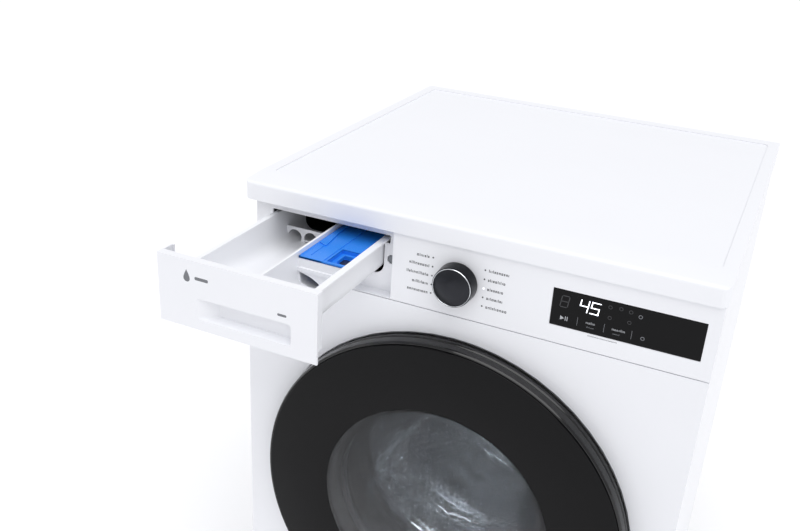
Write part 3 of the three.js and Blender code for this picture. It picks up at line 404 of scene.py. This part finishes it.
def keep(name, material):
    """A CAD node: its facets joined, its edges rounded and its finish put on."""
    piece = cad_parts[name]
    piece.data.materials.clear()
    piece.data.materials.append(material)
    if "custom_normal" in piece.data.attributes:
        piece.data.attributes.remove(piece.data.attributes["custom_normal"])
    for mark in ("sharp_edge", "sharp_face"):
        if mark in piece.data.attributes:
            piece.data.attributes.remove(piece.data.attributes[mark])
    for polygon in piece.data.polygons:
        polygon.use_smooth = True
    weld = piece.modifiers.new("join", "WELD")
    weld.merge_threshold = 0.00001
    flat = piece.modifiers.new("faces", "DECIMATE")
    flat.decimate_type = "DISSOLVE"
    flat.angle_limit = math.radians(1.0)
    bevelled(piece, RADIUS.get(name, 0.5) * MM, 3 if name in RADIUS else 2)


for material, names in STAYS.items():
    for name in names:
        keep(name, material)
print("kept", sum(len(names) for names in STAYS.values()), "CAD pieces")

# %% [markdown]
# ## The door
# A flat glass disk sits in a deep black ring. The glass is printed black outside a round window, and a bowl of
# clear pressed glass stands behind it, held by an inner frame. Each is turned from its profile, which gives
# clean reflections all the way round.
# %% Door ring, glass and bowl
low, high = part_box("door_ring")
RING = (high.x - low.x) / 2 / MM
DISK = (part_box("door_disk")[1].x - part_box("door_disk")[0].x) / 2 / MM
DISK_Y = (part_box("door_disk")[0].y - FACE) / MM
WINDOW = 157.0
BACK_Y = (high.y - FACE) / MM
NOTCH = math.asin(30.5 / RING)
front_profile = [
    (RING, -13.5),
    (RING - 0.1, -15.0),
    (RING - 1.1, DISK_Y + 4.0),
    (RING - 3.0, DISK_Y + 1.5),
    (DISK + 0.4, DISK_Y + 1.5),
    (DISK + 0.4, -22.4),
    (DISK - 20, -22.4),
    (DISK - 20, -19.4),
    (RING - 6.5, -19.4),
    (RING - 6.5, -13.5),
]
ring = turned("door_ring_front", row(soften(front_profile, 1.2)), sides=192)
fit(ring, "door", BLACK, ["door_ring"])
skirt = [(RING, -13.5), (RING, BACK_Y), (RING - 6.5, BACK_Y), (RING - 6.5, -13.5)]
rear = turned("door_ring_skirt", row(skirt), sides=184, arc=(math.pi + NOTCH, 3 * math.pi - NOTCH))
fit(rear, "door", BLACK, smooth=False)
for polygon in rear.data.polygons:
    polygon.use_smooth = len(polygon.vertices) == 4

printed = [(WINDOW, DISK_Y), (DISK, DISK_Y), (DISK, -23.2), (WINDOW, -23.2)]
fit(turned("door_glass_printed", row(soften(printed, 1.4)), sides=192), "door", PRINTED)
window = [(0, DISK_Y), (WINDOW, DISK_Y), (WINDOW, -23.2), (0, -23.2)]
glass = turned("door_glass_window", row(window), sides=128, closed=False)
fit(glass, "door", SMOKED, ["door_disk"], smooth=False)

outer = [(0, 104), (60, 103.4), (96, 100.5), (117, 88), (132, 66), (143, 38), (148.5, 12), (150, -12)]
outer += [(172, -12), (172, -19)]
inner = [(146, -19), (144.6, 12), (139, 37), (128, 64), (113, 85), (94, 96.2), (58, 99.2), (0, 100)]
bowl = turned("door_bowl_glass", row(soften(outer + inner, 9, 6, closed=False)), sides=160, closed=False)
fit(bowl, "door", PRESSED, ["door_bowl"])
print("door ring radius", round(RING, 1), "glass radius", round(DISK, 1))

# %% [markdown]
# ## The drum and the gasket
# The drum's wall is stainless sheet with rows of small drain holes, each in a shallow dimple. There are several
# thousand, so they are drawn by the material from the wall's own turned coordinates: near-black dots 3.6 mm
# across on a 12 mm pitch, every other row shifted by half, painted shade for the dark behind each hole. The
# gasket is one moulded bellows between the cabinet and the tub.
# %% Perforated wall and gasket


def perforated(name, around, pitch_mm, hole_mm):
    """Stainless sheet with staggered holes, each at the bottom of a dimple; each hole is painted near-black, as
    painted shade of the dark behind the wall.
    """
    material, shader = surface(name, "D2D5D8", 0.18, metallic=1.0)
    links = material.node_tree.links
    coords = add(material, "TexCoord")
    count = round(around / (pitch_mm * MM))
    scaled = add(
        material, "Mapping", {"Scale": (count, 1 / (pitch_mm * MM), 1)}, {"Vector": coords.outputs["UV"]}
    )
    parts = add(material, "SeparateXYZ", None, {"Vector": scaled.outputs["Vector"]})
    line = add(material, "Math", {"operation": "FLOOR"}, {0: parts.outputs["Y"]})
    odd = add(material, "Math", {"operation": "MODULO", 1: 2.0}, {0: line.outputs[0]})
    halved = {"operation": "MULTIPLY_ADD", 1: 0.5}
    shift = add(material, "Math", halved, {0: odd.outputs[0], 2: parts.outputs["X"]})
    across = add(material, "Math", {"operation": "FRACT"}, {0: shift.outputs[0]})
    down = add(material, "Math", {"operation": "FRACT"}, {0: parts.outputs["Y"]})
    spot = add(material, "CombineXYZ", None, {"X": across.outputs[0], "Y": down.outputs[0]})
    away = add(
        material, "VectorMath", {"operation": "DISTANCE", 1: (0.5, 0.5, 0)}, {0: spot.outputs["Vector"]}
    )
    edge = hole_mm / pitch_mm / 2
    solid = add(
        material,
        "MapRange",
        {"From Min": edge * 0.85, "From Max": edge * 1.15},
        {"Value": away.outputs["Value"]},
    )
    dish = add(
        material,
        "MapRange",
        {"From Min": edge * 0.6, "From Max": 0.42, "interpolation_type": "SMOOTHSTEP"},
        {"Value": away.outputs["Value"]},
    )
    bump = add(material, "Bump", {"Strength": 1.0, "Distance": 2.4 * MM}, {"Height": dish.outputs["Result"]})
    # Each hole is coloured near-black: painted shade for the dark space seen through it, not a colour of the
    # steel.
    colour = add(material, "Mix", {"data_type": "RGBA"}, {})
    colour.inputs[6].default_value = tone("101113")
    colour.inputs[7].default_value = tone("D6D9DC")
    shine = add(material, "MapRange", {"To Min": 0.9, "To Max": 0.17}, {"Value": solid.outputs["Result"]})
    links.new(solid.outputs["Result"], colour.inputs[0])
    links.new(colour.outputs[2], shader.inputs["Base Color"])
    links.new(shine.outputs["Result"], shader.inputs["Roughness"])
    links.new(bump.outputs["Normal"], shader.inputs["Normal"])
    return material


low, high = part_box("drum_wrapper")
DRUM = (high.x - low.x) / 2 / MM
wall_y = [(low.y - FACE) / MM, (high.y - FACE) / MM]
HOLED = perforated("perforated_stainless", 2 * math.pi * DRUM * MM, 12.0, 3.6)
wall = [(DRUM - 1.4, wall_y[0]), (DRUM, wall_y[0]), (DRUM, wall_y[1]), (DRUM - 1.4, wall_y[1])]
fit(turned("drum_wall", row(wall), sides=144), "drum", HOLED, ["drum_wrapper"])

bellows = [(162.8, 10.2), (166.8, 10.2), (166.8, 21), (179.5, 25), (179.5, 39), (173.5, 45), (176, 55)]
bellows += [(176, 78), (170.8, 78), (170.8, 64.8), (155.8, 63), (155.8, 59), (168.8, 48), (175, 36)]
bellows += [(175, 28), (154.8, 22), (154.8, 18.8), (162.8, 18.8)]
gasket = turned("door_gasket", row(soften(bellows, 4, 5)), sides=144)
outwards(gasket)
gasket.data.materials.append(EPDM)
for polygon in gasket.data.polygons:
    polygon.use_smooth = True
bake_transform(gasket)
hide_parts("gasket")
print("drum radius", round(DRUM, 1), "mm")

# %% [markdown]
# ## Springs and feet
# A suspension spring is drawn wire wound into a helix, so it is a round wire swept along many turns, as a mesh
# between the cabinet and the tub. A foot is a rubber pad round a steel screw with a hexagonal lock nut.
# %% Springs and feet


def tube(name, points, radius, sides=10):
    """A round wire that follows a row of points."""
    rings, faces = [], []
    normal = Vector((0, 0, 1))
    for i, point in enumerate(points):
        ahead = (Vector(points[min(i + 1, len(points) - 1)]) - Vector(points[max(i - 1, 0)])).normalized()
        side = ahead.cross(normal).normalized()
        up = side.cross(ahead)
        for k in range(sides):
            turn = 2 * math.pi * k / sides
            rings.append(tuple(Vector(point) + (side * math.cos(turn) + up * math.sin(turn)) * radius))
    for i in range(len(points) - 1):
        for k in range(sides):
            a, b = i * sides + k, i * sides + (k + 1) % sides
            faces.append((a, b, b + sides, a + sides))
    faces += [tuple(range(sides - 1, -1, -1)), tuple((len(points) - 1) * sides + k for k in range(sides))]
    return mesh(name, rings, faces)


TURNS, STEPS, WIRE = 16, 24, 2.0
for side in ("left", "right"):
    low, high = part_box("spring_" + side)
    middle, coil = (low + high) / 2, (high.x - low.x) / 2 - WIRE * MM
    line = []
    for i in range(TURNS * STEPS + 1):
        turn = 2 * math.pi * i / STEPS
        z = low.z + WIRE * MM + (high.z - low.z - 2 * WIRE * MM) * i / (TURNS * STEPS)
        line.append((middle.x + coil * math.cos(turn), middle.y + coil * math.sin(turn), z))
    spring = tube("suspension_spring_" + side, line, WIRE * MM)
    outwards(spring)
    spring.data.materials.append(SPRING)
    for polygon in spring.data.polygons:
        polygon.use_smooth = True
    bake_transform(spring)
    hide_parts("spring_" + side)


def upright(name, profile, x, y, sides=48):
    """A profile of (radius, z) pairs turned about an upright axis."""
    piece = turned(name, profile, x=0, z=0, sides=sides, closed=False)
    piece.data.transform(Matrix.Translation((x, y, 0)) @ Matrix.Rotation(math.pi / 2, 4, "X"))
    return piece


PAD = [(0, 0), (20.5, 0), (23, 2.5), (23, 8.5), (21, 10), (13, 12.6), (0, 12.6)]
for place in ("front_left", "front_right", "rear_left", "rear_right"):
    low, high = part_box("foot_" + place)
    x, y = (low.x + high.x) / 2, (low.y + high.y) / 2
    pad = upright("foot_pad_" + place, [(r * MM, z * MM) for r, z in soften(PAD, 1.5, closed=False)], x, y)
    fit(pad, "cabinet", RUBBER, ["foot_" + place])
    screw = [(0, 12.6), (4.8, 12.6), (4.8, high.z / MM), (0, high.z / MM)]
    stem = upright("foot_screw_" + place, [(r * MM, z * MM) for r, z in screw], x, y, 24)
    fit(stem, "cabinet", PIN)
    sixths = [k * math.pi / 3 for k in range(6)]
    corners = [(x + 11 * MM * math.cos(a), y + 11 * MM * math.sin(a)) for a in sixths]
    nut = slab("foot_nut_" + place, corners, 13.5 * MM, 21.4 * MM, "z")
    fit(nut, "cabinet", ZINC, bevel=0.6 * MM, smooth=False)
print("springs of", TURNS, "turns and four feet")

# %% [markdown]
# ## The programme knob
# An aluminium knob, anodised black and brushed. A bright chamfer rings its face, and the face itself was spun
# under the brush, so its fine grooves run in circles. The grooves are drawn from the turned coordinates, and
# an anisotropic gloss spreads the light across them.
# %% Knob


def spun(name, code, roughness, strength):
    """Metal with fine circular grooves about 0.15 mm apart, drawn three times as coarse so that they show."""
    material, shader = surface(name, code, roughness, metallic=1.0, anisotropic=0.75)
    coords = add(material, "TexCoord")
    fine = add(material, "Mapping", {"Scale": (1.5, 2200, 1)}, {"Vector": coords.outputs["UV"]})
    lines = add(material, "TexNoise", {"Scale": 1.0, "Detail": 3.0}, {"Vector": fine.outputs["Vector"]})
    bump = add(
        material, "Bump", {"Strength": strength, "Distance": 0.00005}, {"Height": lines.outputs["Fac"]}
    )
    shine = add(
        material,
        "MapRange",
        {"To Min": roughness * 0.7, "To Max": roughness * 1.4},
        {"Value": lines.outputs["Fac"]},
    )
    turn = add(material, "Tangent", {"direction_type": "RADIAL", "axis": "Y"})
    links = material.node_tree.links
    links.new(bump.outputs["Normal"], shader.inputs["Normal"])
    links.new(shine.outputs["Result"], shader.inputs["Roughness"])
    links.new(turn.outputs["Tangent"], shader.inputs["Tangent"])
    return material


KNOB_FACE = spun("spun_black_anodised_aluminium", "35363A", 0.3, 0.5)
KNOB_SIDE = spun("brushed_black_anodised_aluminium", "222327", 0.3, 0.4)
BRIGHT = spun("bright_cut_aluminium", "D5D8DC", 0.22, 0.3)
low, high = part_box("programme_knob")
KNOB_X, KNOB_Z = (low.x + high.x) / 2, (low.z + high.z) / 2
KNOB_R, KNOB_Y = (high.x - low.x) / 2 / MM, (low.y - FACE) / MM
side = [(4, 6.4), (4, -0.9), (KNOB_R - 0.4, -0.9), (KNOB_R, -1.6), (KNOB_R - 0.9, KNOB_Y + 1.6)]
side += [(KNOB_R - 1.3, KNOB_Y + 0.8), (KNOB_R - 3, KNOB_Y + 0.8), (KNOB_R - 3, KNOB_Y + 3), (4, KNOB_Y + 3)]
side = turned("knob_side", row(soften(side, 0.4)), KNOB_X, KNOB_Z, 128)
fit(side, "knob", KNOB_SIDE, ["programme_knob"])
rim = [(KNOB_R - 1.35, KNOB_Y + 1.2), (KNOB_R - 2.3, KNOB_Y), (KNOB_R - 2.8, KNOB_Y + 0.5)]
rim += [(KNOB_R - 2.8, KNOB_Y + 1.6)]
fit(turned("knob_bright_ring", row(soften(rim, 0.2)), KNOB_X, KNOB_Z, 128), "knob", BRIGHT)
face = [(0, KNOB_Y + 0.5), (KNOB_R - 3.1, KNOB_Y + 0.6), (KNOB_R - 2.9, KNOB_Y + 1.0), (0, KNOB_Y + 2.8)]
face = turned("knob_face", row(face), KNOB_X, KNOB_Z, 128, closed=False)
fit(face, "knob", KNOB_FACE)
print("knob radius", round(KNOB_R, 1), "mm")

# %% [markdown]
# ## Printing on the panel
# Each programme has a dot and a short caption. A caption here is a row of small strokes with no meaning, as
# wide as a real one and as high as its letters. They are pad printed, so each is a very thin raised film.
# %% Captions and dots
random.seed(7)
FILM = 0.06 * MM


def caption(name, x, z, width, height, body, material, front=FACE):
    """Strokes that stand for a line of small print, starting at x, centred on z."""
    points, faces, at = [], [], x
    thick = height * 0.2
    while at < x + width:
        kind, step = random.choice("inol"), height * random.uniform(0.42, 0.7)
        tall = 1.0 if kind == "l" else 0.72
        strokes = [(0, thick, 0, tall * height)]
        if kind in "no":
            strokes += [(step - thick, step, 0, tall * height), (0, step, tall * height - thick, tall * height)]
        if kind == "o":
            strokes += [(0, step, 0, thick)]
        if kind in "il":
            step = thick
        for x0, x1, z0, z1 in strokes:
            first = len(points)
            for y in (front, front - FILM):
                points += [(at + x0, y, z + z0 - height / 2), (at + x1, y, z + z0 - height / 2)]
                points += [(at + x1, y, z + z1 - height / 2), (at + x0, y, z + z1 - height / 2)]
            quads = [(0, 1, 2, 3), (7, 6, 5, 4), (0, 4, 5, 1), (1, 5, 6, 2), (2, 6, 7, 3), (3, 7, 4, 0)]
            faces += [tuple(first + k for k in quad) for quad in quads]
        at += step + height * 0.26
    piece = mesh(name, points, faces)
    piece.data.materials.append(material)
    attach(piece, body)
    return piece


ROWS = [801.5, 789.6, 777.7, 766.0, 754.4]
LEFT = [(-56.2, -40.2), (-65.5, -40.2), (-68.4, -40.2), (-60.5, -40.2), (-66.5, -40.2)]
RIGHT = [(35.8, 59.7), (35.8, 57.0), (35.8, 55.6), (35.8, 55.0), (35.8, 60.7)]
LIT_ROW = 2
for i, z in enumerate(ROWS):
    for side, dot_x, spans in (("left", -35.0, LEFT), ("right", 31.2, RIGHT)):
        x0, x1 = spans[i]
        name = "caption_" + side + "_" + str(i + 1)
        caption(name, x0 * MM, z * MM, (x1 - x0) * MM, 3.7 * MM, "cabinet", INK)
        chosen = side == "right" and i == LIT_ROW
        dot = [(0, 0.0), (1.05, 0.0), (1.05, -0.08), (0, -0.08)]
        dot = turned("dot_" + side + "_" + str(i + 1), row(dot), dot_x * MM, z * MM, 20, closed=False)
        fit(dot, "cabinet", LIT if chosen else INK)
print("captions printed")

# %% [markdown]
# ## The display
# A strip of black glass set flush in the panel, with a lit two figure time, a start mark, two caption keys
# and faint unlit marks. A figure is made of seven slanted segments, as in the real part.
# %% Display
low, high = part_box("display_window")
outline = rounded(low.x, low.z, high.x, high.z, 0.8 * MM)
strip = slab("display_glass", outline, low.y, high.y)
fit(strip, "cabinet", PRINTED, ["display_window"], bevel=0.4 * MM, smooth=False)
GLASS = low.y
SEGMENTS = {"4": "bcfg", "5": "acdfg", "8": "abcdefg"}


def figure(name, digit, x, z, width, height, material):
    """A seven segment figure whose lower left corner is at x, z, leaning to the right."""
    thick, lean, half = width * 0.17, 0.13, height / 2
    bars = {
        "a": (0, height - thick, width, height),
        "g": (0, half - thick / 2, width, half + thick / 2),
        "d": (0, 0, width, thick),
        "f": (0, half, thick, height),
        "e": (0, 0, thick, half),
        "b": (width - thick, half, width, height),
        "c": (width - thick, 0, width, half),
    }
    points, faces = [], []
    for key in SEGMENTS[digit]:
        x0, z0, x1, z1 = bars[key]
        gap = thick * 0.18
        x0, z0, x1, z1 = x0 + gap, z0 + gap, x1 - gap, z1 - gap
        first = len(points)
        for y in (GLASS, GLASS - FILM):
            points += [(x + a + lean * b, y, z + b) for a, b in ((x0, z0), (x1, z0), (x1, z1), (x0, z1))]
        quads = [(0, 1, 2, 3), (7, 6, 5, 4), (0, 4, 5, 1), (1, 5, 6, 2), (2, 6, 7, 3), (3, 7, 4, 0)]
        faces += [tuple(first + k for k in quad) for quad in quads]
    piece = mesh(name, points, faces)
    piece.data.materials.append(material)
    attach(piece, "cabinet")


figure("figure_ghost", "8", 0.1225, 0.7786, 0.0105, 0.0159, UNLIT)
figure("figure_four", "4", 0.1448, 0.7786, 0.0108, 0.0159, LIT)
figure("figure_five", "5", 0.1574, 0.7786, 0.0108, 0.0159, LIT)


def sign(name, outline, material):
    """A flat printed or lit sign on the display's glass, from an outline in millimetres."""
    piece = slab(name, [(a * MM, b * MM) for a, b in outline], GLASS - FILM, GLASS)
    fit(piece, "cabinet", material, smooth=False)


sign("start_triangle", [(125.8, 762.9), (130.4, 765.6), (125.8, 768.3)], PALE_INK)
sign("start_bar_1", [(131.4, 762.9), (132.3, 762.9), (132.3, 768.3), (131.4, 768.3)], PALE_INK)
sign("start_bar_2", [(133.6, 762.9), (134.5, 762.9), (134.5, 768.3), (133.6, 768.3)], PALE_INK)
for i, x in enumerate((145.9, 176.6, 207.6)):
    sign("divider_" + str(i + 1), [(x - 0.2, 760.5), (x + 0.2, 760.5), (x + 0.2, 771), (x - 0.2, 771)], DIM)
KEY_LINES = ((155.5, 767.3, 11), (185.5, 767.3, 13), (157, 761.8, 8), (187, 761.8, 8))
for i, (x, z, width) in enumerate(KEY_LINES):
    size = 3.0 if z > 765 else 1.8
    paint = PALE_INK if z > 765 else DIM
    name = "key_caption_" + str(i + 1)
    caption(name, x * MM, z * MM, width * MM, size * MM, "cabinet", paint, GLASS)
STATUS = ((180, 793), (192, 794), (203, 793), (181, 780), (203, 780), (214, 790), (220, 764.6))
for i, (x, z) in enumerate(STATUS):
    ring_mark = [(1.6, -0.2), (2.3, -0.2), (2.3, -0.27), (1.6, -0.27)]
    ring_mark = turned("status_mark_" + str(i + 1), row(ring_mark), x * MM, z * MM, 28)
    fit(ring_mark, "cabinet", DIM if i > 4 else UNLIT)
FOOT_X, FOOT_Z, FOOT_WIDE, FOOT_HIGH = 159.5 * MM, 751.4 * MM, 33.5 * MM, 1.5 * MM
caption("panel_footnote", FOOT_X, FOOT_Z, FOOT_WIDE, FOOT_HIGH, "cabinet", SOFT_INK)
print("display", round((high.x - low.x) / MM), "by", round((high.z - low.z) / MM), "mm")

# %% [markdown]
# ## The softener cap
# A blue insert sits in the right of the drawer. It has a raised rim, a step along its length, a raised flap
# with a ridge in front of it, and a rectangular well with a round hole, through which the softener is poured.
# Each feature is a bevelled moulding of its own on one base, except the round hole, which is a dark blue disk on
# the well's floor: painted shade.
# %% Softener cap
low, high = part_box("softener_cap")
x0, x1, y0, y1 = low.x, high.x, low.y, high.y
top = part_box("drawer_tray")[1].z - 5 * MM
base = top - 3 * MM
well_x0, well_x1, well_y0, well_y1 = x0 + 34.5 * MM, x1 - 2.6 * MM, y0 + 6 * MM, y0 + 46 * MM
WELL = base - 4 * MM


def cap_block(name, a0, a1, b0, b1, c0, c1, bevel=0.5):
    """A bevelled moulding of the cap between two corners."""
    piece = slab("cap_" + name, [(a0, b0), (a1, b0), (a1, b1), (a0, b1)], c0, c1, "z")
    return fit(piece, "drawer", BLUE, (), bevel * MM, smooth=False)


step_x = well_x0 - 3 * MM
left_plate = cap_block("plate_left", x0, step_x, y0, y1, base, top - 0.6 * MM, 0.4)
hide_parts("softener_cap")
cap_block("plate_middle", step_x - 0.5 * MM, well_x0, y0, y1, base, top - 1.6 * MM, 0.4)
cap_block("plate_back", well_x0 - 0.5 * MM, x1, well_y1, y1, base, top - 1.6 * MM, 0.4)
cap_block("plate_front", well_x0 - 0.5 * MM, x1, y0, well_y0, base, top - 1.6 * MM, 0.4)
cap_block("rim_left", x0, x0 + 2.6 * MM, y0, y1, base, top)
cap_block("rim_right", x1 - 2.6 * MM, x1, y0, y1, WELL, top)
cap_block("rim_front", x0, x1, y0, y0 + 2.6 * MM, base, top)
cap_block("rim_back", x0, x1, y1 - 2.6 * MM, y1, base, top)
cap_block("well_left", well_x0 - 1.5 * MM, well_x0, well_y0, well_y1, WELL, top - 1.7 * MM, 0.2)
cap_block("well_back", well_x0, well_x1, well_y1, well_y1 + 1.5 * MM, WELL, top - 1.7 * MM, 0.2)
cap_block("well_front", well_x0, well_x1, well_y0 - 1.5 * MM, well_y0, WELL, top - 1.7 * MM, 0.2)
floor_x, floor_y = (well_x0 - 1 * MM, well_x1 + 1 * MM), (well_y0 - 1 * MM, well_y1 + 1 * MM)
cap_block("well_floor", *floor_x, *floor_y, WELL - 1.5 * MM, WELL)
guard_x, guard_y, guard_top = well_x0 + 9 * MM, well_y0 + 27 * MM, top - 2 * MM
cap_block("guard_side", guard_x, guard_x + 1.4 * MM, well_y0 + 9 * MM, guard_y, WELL, guard_top, 0.3)
back_y = well_y0 + 26 * MM
cap_block("guard_back", guard_x, guard_x + 12 * MM, back_y, back_y + 1.4 * MM, WELL, guard_top, 0.3)
# The round hole is a near-black blue disk just above the well's floor: painted shade for the dark inside the
# hole.
HOLE = textured("shadowed_pp_blue", "061B44", "05163A", 0.5, 0.05, 0.9, 0.01, ior=1.49)
middle_x, middle_y = well_x0 + 15 * MM, well_y0 + 18 * MM
hole = [(0, WELL + 0.4 * MM), (6.8 * MM, WELL + 0.4 * MM), (7.4 * MM, WELL)]
fit(upright("cap_well_hole_painted_shade", hole, middle_x, middle_y), "drawer", HOLE)
flap = [(2.4, 140), (2.4, 46), (11.1, 41.4), (14.3, 41.6), (8.5, 85), (8.5, 140)]
flap = [(x0 + a * MM, y0 + b * MM) for a, b in flap]
flap = slab("cap_raised_flap", flap, base, top + 1.2 * MM, "z")
fit(flap, "drawer", BLUE, bevel=0.4 * MM, smooth=False)
seam = [(10.8, 42), (11.8, 42), (11.8, 10), (10.8, 10)]
seam = slab("cap_ridge", [(x0 + a * MM, y0 + b * MM) for a, b in seam], base, top + 0.1 * MM, "z")
fit(seam, "drawer", BLUE, bevel=0.2 * MM, smooth=False)
print("cap", round((x1 - x0) / MM), "by", round((y1 - y0) / MM), "mm")

# %% [markdown]
# ## The back
# The rear panel is stiffened by pressed panels and held by screws, with slots for air drawn as thin black strips
# of painted shade. A plain white label with meaningless lines stands for the rating plate. The inlet stub gets
# the thread that a hose needs.
# %% Rear details
low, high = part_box("rear_panel")
REAR = high.y
for i, (a0, c0, a1, c1) in enumerate(((-235, 80, -15, 330), (15, 80, 235, 330), (-150, 380, 150, 560))):
    for k, inset in enumerate((0, 9)):
        bead = rounded((a0 + inset) * MM, (c0 + inset) * MM, (a1 - inset) * MM, (c1 - inset) * MM, 0.018, 10)
        bead = slab("rear_bead_" + str(i + 1) + "_" + str(k + 1), bead, REAR - 0.3 * MM, REAR + (1.2 + k) * MM)
        fit(bead, "cabinet", ZINC, bevel=1.1 * MM, smooth=False)
# The air slots are thin black strips laid on the sheet in the black rubber finish: painted shade in place of cut
# slots.
for i in range(7):
    z = (640 + 12 * i) * MM
    slot_outline = rounded(-0.08, z, 0.08, z + 0.004, 0.0019, 6)
    vent = slab("rear_vent_painted_shade_" + str(i + 1), slot_outline, REAR - 0.2 * MM, REAR + 0.25 * MM)
    fit(vent, "cabinet", RUBBER, smooth=False)
SCREW = [(0, 2.2), (2.6, 2.0), (4.2, 1.0), (4.6, 0.0), (0, 0.0)]
places = [(sx * 0.283, z) for sx in (-1, 1) for z in (0.06, 0.3, 0.55, 0.79)] + [(x, 0.81) for x in (-0.1, 0.1)]
for i, (x, z) in enumerate(places):
    head = turned("rear_screw_" + str(i + 1), row(SCREW, REAR), x, z, 32, closed=False)
    fit(head, "cabinet", PIN)
plate = slab("rating_label", rounded(-0.06, 0.585, 0.06, 0.625, 0.002), REAR, REAR + 0.15 * MM)
fit(plate, "cabinet", ABS, smooth=False)
for i in range(5):
    name, z = "rating_line_" + str(i + 1), (617 - 6.5 * i) * MM
    caption(name, -0.054, z, (0.09, 0.07, 0.1, 0.05, 0.08)[i], 2.6 * MM, "cabinet", INK, REAR + 0.21 * MM)
low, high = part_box("inlet_valve")
stub_z = (low.z + high.z) / 2
stub_x = (low.x + high.x) / 2
for i in range(4):
    y = (8.0 + 2.4 * i) * MM
    thread = [(0.0121, REAR + y), (0.0128, REAR + y + 0.0008), (0.0121, REAR + y + 0.0016)]
    thread = turned("inlet_thread_" + str(i + 1), thread, stub_x, stub_z, 48)
    fit(thread, "cabinet", GREY_PP)
print("rear details at y", round(REAR, 4))

# %% [markdown]
# ## Small signs on the front
# The drawer carries a plain drop of water and two bars, which mean nothing, and the flap over the pump filter
# has a slot for a coin, drawn as a flat mid grey mark in the print's ink: painted shade. A grey boss shows in
# the round hole at the right of the drawer's recess.
# %% Drawer print and flap slot
low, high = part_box("drawer_front")
DRAWER = low.y
drop = []
for k in range(40):
    turn = 2 * math.pi * k / 40
    swell = math.sin(turn / 2) ** 1.6
    drop.append((-0.2585 + 0.0062 * math.sin(turn) * swell, 0.7958 + 0.0078 * math.cos(turn)))
drop = slab("drawer_drop", drop, DRAWER - FILM * 0.5, DRAWER + FILM)
fit(drop, "drawer", SOFT_INK, smooth=False)
BARS = {"drawer_bar": (-247.5, 792.6, -229.5, 796.6), "drawer_short_bar": (-139.5, 777.4, -128, 780.4)}
for name, box in BARS.items():
    bar = rounded(*[v * MM for v in box], 1.4 * MM)
    bar = slab(name, bar, DRAWER - FILM * 0.5, DRAWER + FILM)
    fit(bar, "drawer", SOFT_INK, smooth=False)
low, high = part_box("service_flap")
coin_x = (low.x + high.x) / 2
# The coin slot is a flat mid grey mark in the print's ink: painted shade in place of a cut slot.
notch = rounded(coin_x - 0.012, high.z - 0.009, coin_x + 0.012, high.z - 0.006, 0.0014)
notch = slab("flap_coin_slot_painted_shade", notch, low.y - 0.00005, low.y + 0.0005)
fit(notch, "flap", SOFT_INK, smooth=False)
hole_x, hole_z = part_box("control_panel")[0].x + 0.2024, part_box("drawer_tray")[1].z - 27 * MM
boss = [(0, 16.2), (4.4, 16.2), (5.6, 17.0), (5.6, 17.4), (0, 17.4)]
boss = turned("recess_boss", row(soften(boss, 0.5, closed=False)), hole_x, hole_z, 40, closed=False)
fit(boss, "cabinet", GREY_PP)
print("drawer face at y", round(DRAWER, 4))

# %% [markdown]
# ## Studio
# A pale seamless floor, an even white sky for the fill, a wide soft sun from above and a little in front for
# the shape, a weak soft box from the left, and a small lamp behind the door's bowl that lights the drum. The
# sky is kept below full white so that the white cabinet doesn't burn out.
# %% Floor, lights and camera
bpy.context.scene.view_settings.view_transform = "Standard"
floor = mesh("studio_floor", [(-40, -40, 0), (40, -40, 0), (40, 40, 0), (-40, 40, 0)], [(0, 1, 2, 3)])
floor.data.materials.append(textured("pale_floor", "FBFBFC", "F9F9FA", 0.7, 0.05, 6.0, 0.01))
world = bpy.data.worlds.new("white_sky")
world.use_nodes = True
sky = world.node_tree.nodes["Background"]
sky.inputs["Color"].default_value = (0.975, 0.98, 1.0, 1.0)
sky.inputs["Strength"].default_value = 0.66
bpy.context.scene.world = world


def soft_box(name, place, target, size, watts):
    lamp = bpy.data.lights.new(name, "AREA")
    lamp.shape, lamp.size, lamp.size_y, lamp.energy = "RECTANGLE", size[0], size[1], watts
    made = bpy.data.objects.new(name, lamp)
    made.location = place
    made.rotation_euler = (Vector(target) - Vector(place)).to_track_quat("-Z", "Y").to_euler()
    bpy.context.scene.collection.objects.link(made)


sun = bpy.data.lights.new("diffuse_daylight", "SUN")
sun.energy, sun.angle = 1.7, math.radians(60)
daylight = bpy.data.objects.new("diffuse_daylight", sun)
daylight.rotation_euler = Vector((0.3, -0.3, 1.0)).to_track_quat("Z", "Y").to_euler()
bpy.context.scene.collection.objects.link(daylight)
soft_box("left_box", (-2.6, -1.2, 1.8), (-0.1, -0.2, 0.6), (1.6, 1.6), 5)
LAMP, AIM = (0, FACE + 0.09, DOOR_Z + 0.13), (0, FACE + 0.36, DOOR_Z - 0.12)
soft_box("drum_lamp", LAMP, AIM, (0.14, 0.05), 1.6)

lens = bpy.data.cameras.new("view")
lens.lens, lens.sensor_width = 41.16, 36.0
camera = bpy.data.objects.new("view", lens)
right, up = Vector((0.90293302, 0.42655591, 0.05255494)), Vector((-0.2232039, 0.36091386, 0.905495))
back = right.cross(up)
camera.matrix_world = Matrix((right, up, back)).transposed().to_4x4()
camera.location = (0.3312, -1.13185, 1.2494)
bpy.context.scene.collection.objects.link(camera)
bpy.context.scene.camera = camera
print("studio ready")
